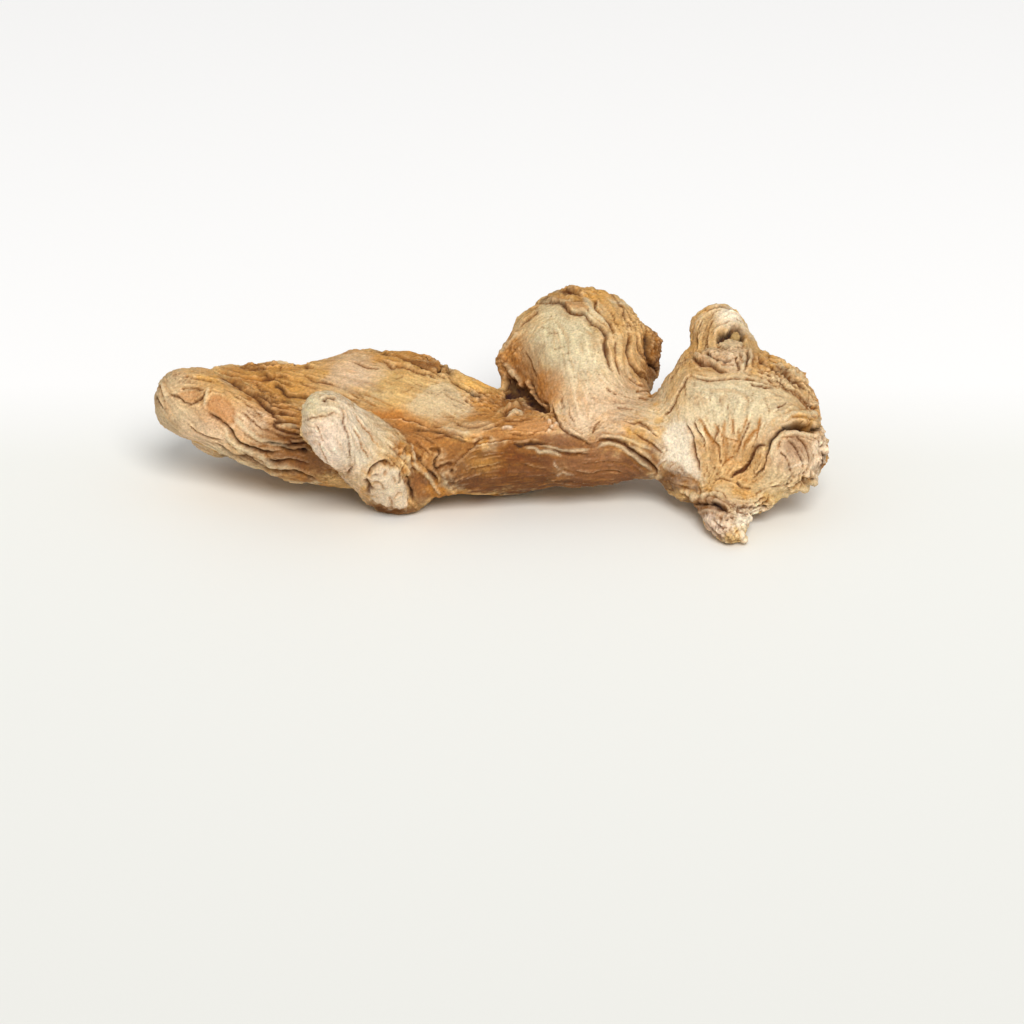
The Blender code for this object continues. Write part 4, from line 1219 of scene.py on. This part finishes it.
def relief_of(skin):
    """How deep each point lies in a dell, and how far it stands above or below its neighbours."""
    near = skin.averaged(skin.co, 3)
    wide = skin.averaged(near, 9)
    broad = skin.averaged(wide, 60)
    relief = skin.above(near) * 0.8 + skin.above(wide) * 0.5
    return np.maximum(-skin.above(broad), 0.0), relief


def pinched(values):
    """Sharp valleys between round folds, about level on the whole."""
    return np.abs(values) ** 0.7 - 0.8


def sculpt(marks):
    """The root with its skin: every fold is real, and every point has its colour."""
    obj, grain = shaped_body(marks)
    skin = Surface(obj, STEP_ROUNDS)
    seen = facing_chart(skin)
    chart = on_chart(skin.co) + wandering(skin.co, 11)
    shares = lobe_shares(skin.co)
    weights = wash_weights(marks, skin.co, chart, seen, shares)
    wrinkled = wrinkle_amount(marks, weights, skin.co, seen)

    drawn = np.zeros(skin.count)
    line_tints = draw_all_lines(marks, skin, chart, seen, shares, drawn)
    patch_tints = draw_all_patches(marks, skin, chart, seen, shares, drawn)

    # The wrinkles, from the broadest to the finest. They are lower where the front is drawn.
    undrawn = 1.0 - 0.6 * seen
    folds = pinched(grain.combed(skin.co, *BROAD)) * FOLD_HEIGHT * wrinkled * undrawn
    creases = pinched(grain.combed(skin.co, *MIDDLE)) * CREASE_HEIGHT
    creases = creases * (0.12 + 0.88 * wrinkled) * undrawn
    fine = grain.combed(skin.co, *FINE)
    skin.push(folds + SWELL_HEIGHT * noise(skin.co, 6.0, 104), rounds=4)
    skin.push(drawn + creases, rounds=3)

    scales = np.abs(noise(skin.co, 1.3, 105)) + 0.5 * np.abs(noise(skin.co, 0.6, 106))
    crusty = crust_amount(marks, skin, chart, seen)
    fibres = (np.abs(fine) ** 0.9 - 0.75) * FIBRE_HEIGHT * (0.35 + 0.65 * wrinkled)
    skin.push(fibres + (scales - 0.4) * SCALE_HEIGHT * crusty)
    cracks = crack_amount(skin, grain, wrinkled)
    skin.push(-CRACK_DEPTH * cracks)
    grit = 0.5 * grain.combed(skin.co, *GRIT) + 0.7 * noise(skin.co, 0.3, 108)
    skin.push(GRIT_HEIGHT * grit)

    dell, relief = relief_of(skin)
    fields = {
        "fine": fine,
        "grit": grit,
        "crusty": crusty,
        "cracks": cracks,
        "dell": dell,
        "hollow": np.maximum(-relief, 0.0),
        "crest": np.maximum(relief, 0.0),
        # where the painted shadow at the short finger's foot falls
        "finger_foot_shadow": 4.0 * shares[FINGER] * (1.0 - shares[FINGER]),
    }
    paint(skin, marks, weights, patch_tints + line_tints, fields)
    obj.data.shade_smooth()
    return obj


# ---------------------------------------------------------------- material, stage, light, camera


def node(tree, kind, inputs):
    """A shader node with those inputs set."""
    made = tree.nodes.new(kind)
    for name, value in inputs.items():
        made.inputs[name].default_value = value
    return made


def new_material(name, inputs):
    """A material, its node tree, and its Principled shader with those inputs set."""
    material = bpy.data.materials.new(name)
    material.use_nodes = True
    shader = material.node_tree.nodes["Principled BSDF"]
    for socket, value in inputs.items():
        shader.inputs[socket].default_value = value
    return material, material.node_tree, shader


def spread_of(tree, source, low, high):
    """The middle of a noise's range, 0.3 to 0.7, spread over low to high."""
    limits = {"From Min": 0.3, "From Max": 0.7, "To Min": low, "To Max": high}
    spread = node(tree, "ShaderNodeMapRange", limits)
    tree.links.new(source, spread.inputs["Value"])
    return spread.outputs["Result"]


def skin_material():
    """The painted skin colour under a fine speckle, which also roughens and grains the surface."""
    looks = {
        "Specular IOR Level": 0.25,
        "Subsurface Weight": 0.12,
        "Subsurface Radius": (1.0, 0.45, 0.2),
        "Subsurface Scale": 0.0003,
    }
    material, tree, shader = new_material("dried_skin", looks)
    place = tree.nodes.new("ShaderNodeTexCoord")
    speckle = node(tree, "ShaderNodeTexNoise", {"Scale": 2600.0, "Detail": 6.0, "Roughness": 0.7})
    tree.links.new(place.outputs["Object"], speckle.inputs["Vector"])
    colour = tree.nodes.new("ShaderNodeVertexColor")
    colour.layer_name = "skin"
    mix = tree.nodes.new("ShaderNodeVectorMath")
    mix.operation = "SCALE"
    tree.links.new(colour.outputs["Color"], mix.inputs[0])
    tree.links.new(spread_of(tree, speckle.outputs["Fac"], 0.65, 1.29), mix.inputs["Scale"])
    tree.links.new(mix.outputs["Vector"], shader.inputs["Base Color"])
    tree.links.new(spread_of(tree, speckle.outputs["Fac"], 0.7, 0.92), shader.inputs["Roughness"])
    bump = node(tree, "ShaderNodeBump", {"Strength": 0.8, "Distance": 0.00022})
    tree.links.new(speckle.outputs["Fac"], bump.inputs["Height"])
    tree.links.new(bump.outputs["Normal"], shader.inputs["Normal"])
    return material


def floor_material():
    """Pale grey near the camera, and soft white from behind the root on."""
    material, tree, shader = new_material("floor", {"Roughness": 0.5, "Specular IOR Level": 0.2})
    place = tree.nodes.new("ShaderNodeTexCoord")
    split = tree.nodes.new("ShaderNodeSeparateXYZ")
    ramp = tree.nodes.new("ShaderNodeValToRGB")
    spread = node(tree, "ShaderNodeMapRange", {"From Min": -0.4, "From Max": 0.6})
    tree.links.new(place.outputs["Object"], split.inputs["Vector"])
    tree.links.new(split.outputs["Y"], spread.inputs["Value"])
    tree.links.new(spread.outputs["Result"], ramp.inputs["Fac"])
    first, last = ramp.color_ramp.elements
    first.position, first.color = 0.0, (0.62, 0.62, 0.595, 1.0)
    last.position, last.color = 0.445, (1.0, 1.0, 1.0, 1.0)
    middle = ramp.color_ramp.elements.new(0.412)
    middle.color = (0.90, 0.905, 0.87, 1.0)
    tree.links.new(ramp.outputs["Color"], shader.inputs["Base Color"])
    return material


def add_floor(half):
    """A square floor that reaches `half` metres to each side."""
    mesh = bpy.data.meshes.new("floor")
    corners = [(-half, -half, 0), (half, -half, 0), (half, half, 0), (-half, half, 0)]
    mesh.from_pydata(corners, [], [(0, 1, 2, 3)])
    floor = bpy.data.objects.new("floor", mesh)
    bpy.context.scene.collection.objects.link(floor)
    mesh.materials.append(floor_material())


def add_light(name, place, size, watts, colour):
    """A round lamp that shines at the origin, where the root lies."""
    light = bpy.data.lights.new(name, "AREA")
    light.shape = "DISK"
    light.size = size
    light.energy = watts
    light.color = colour
    obj = bpy.data.objects.new(name, light)
    obj.location = place
    obj.rotation_euler = (-Vector(place)).to_track_quat("-Z", "Y").to_euler()
    bpy.context.scene.collection.objects.link(obj)


def add_camera():
    camera = bpy.data.cameras.new("camera")
    camera.sensor_width = SENSOR_MM
    camera.lens = SENSOR_MM * VIEW_DISTANCE / FRAME_WIDTH_MM
    camera.clip_start = 0.01
    obj = bpy.data.objects.new("camera", camera)
    obj.location = Vector(EYE * MM)
    obj.rotation_euler = (math.pi / 2 - VIEW_ELEVATION, 0.0, 0.0)
    bpy.context.scene.collection.objects.link(obj)
    bpy.context.scene.camera = obj


def add_world(strength):
    """Even white light from all around."""
    world = bpy.data.worlds.new("studio")
    world.use_nodes = True
    background = world.node_tree.nodes["Background"]
    background.inputs["Color"].default_value = (1.0, 1.0, 1.0, 1.0)
    background.inputs["Strength"].default_value = strength
    bpy.context.scene.world = world
    bpy.context.scene.view_settings.view_transform = "Standard"


draw_everything()
root = sculpt(marks)
root.data.materials.append(skin_material())
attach(root, "root")
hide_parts(NODE)
add_floor(half=3.0)
add_light("key", place=(0.35, -1.9, 1.8), size=1.3, watts=60.0, colour=(1.0, 0.985, 0.96))
add_world(strength=0.5)
add_camera()
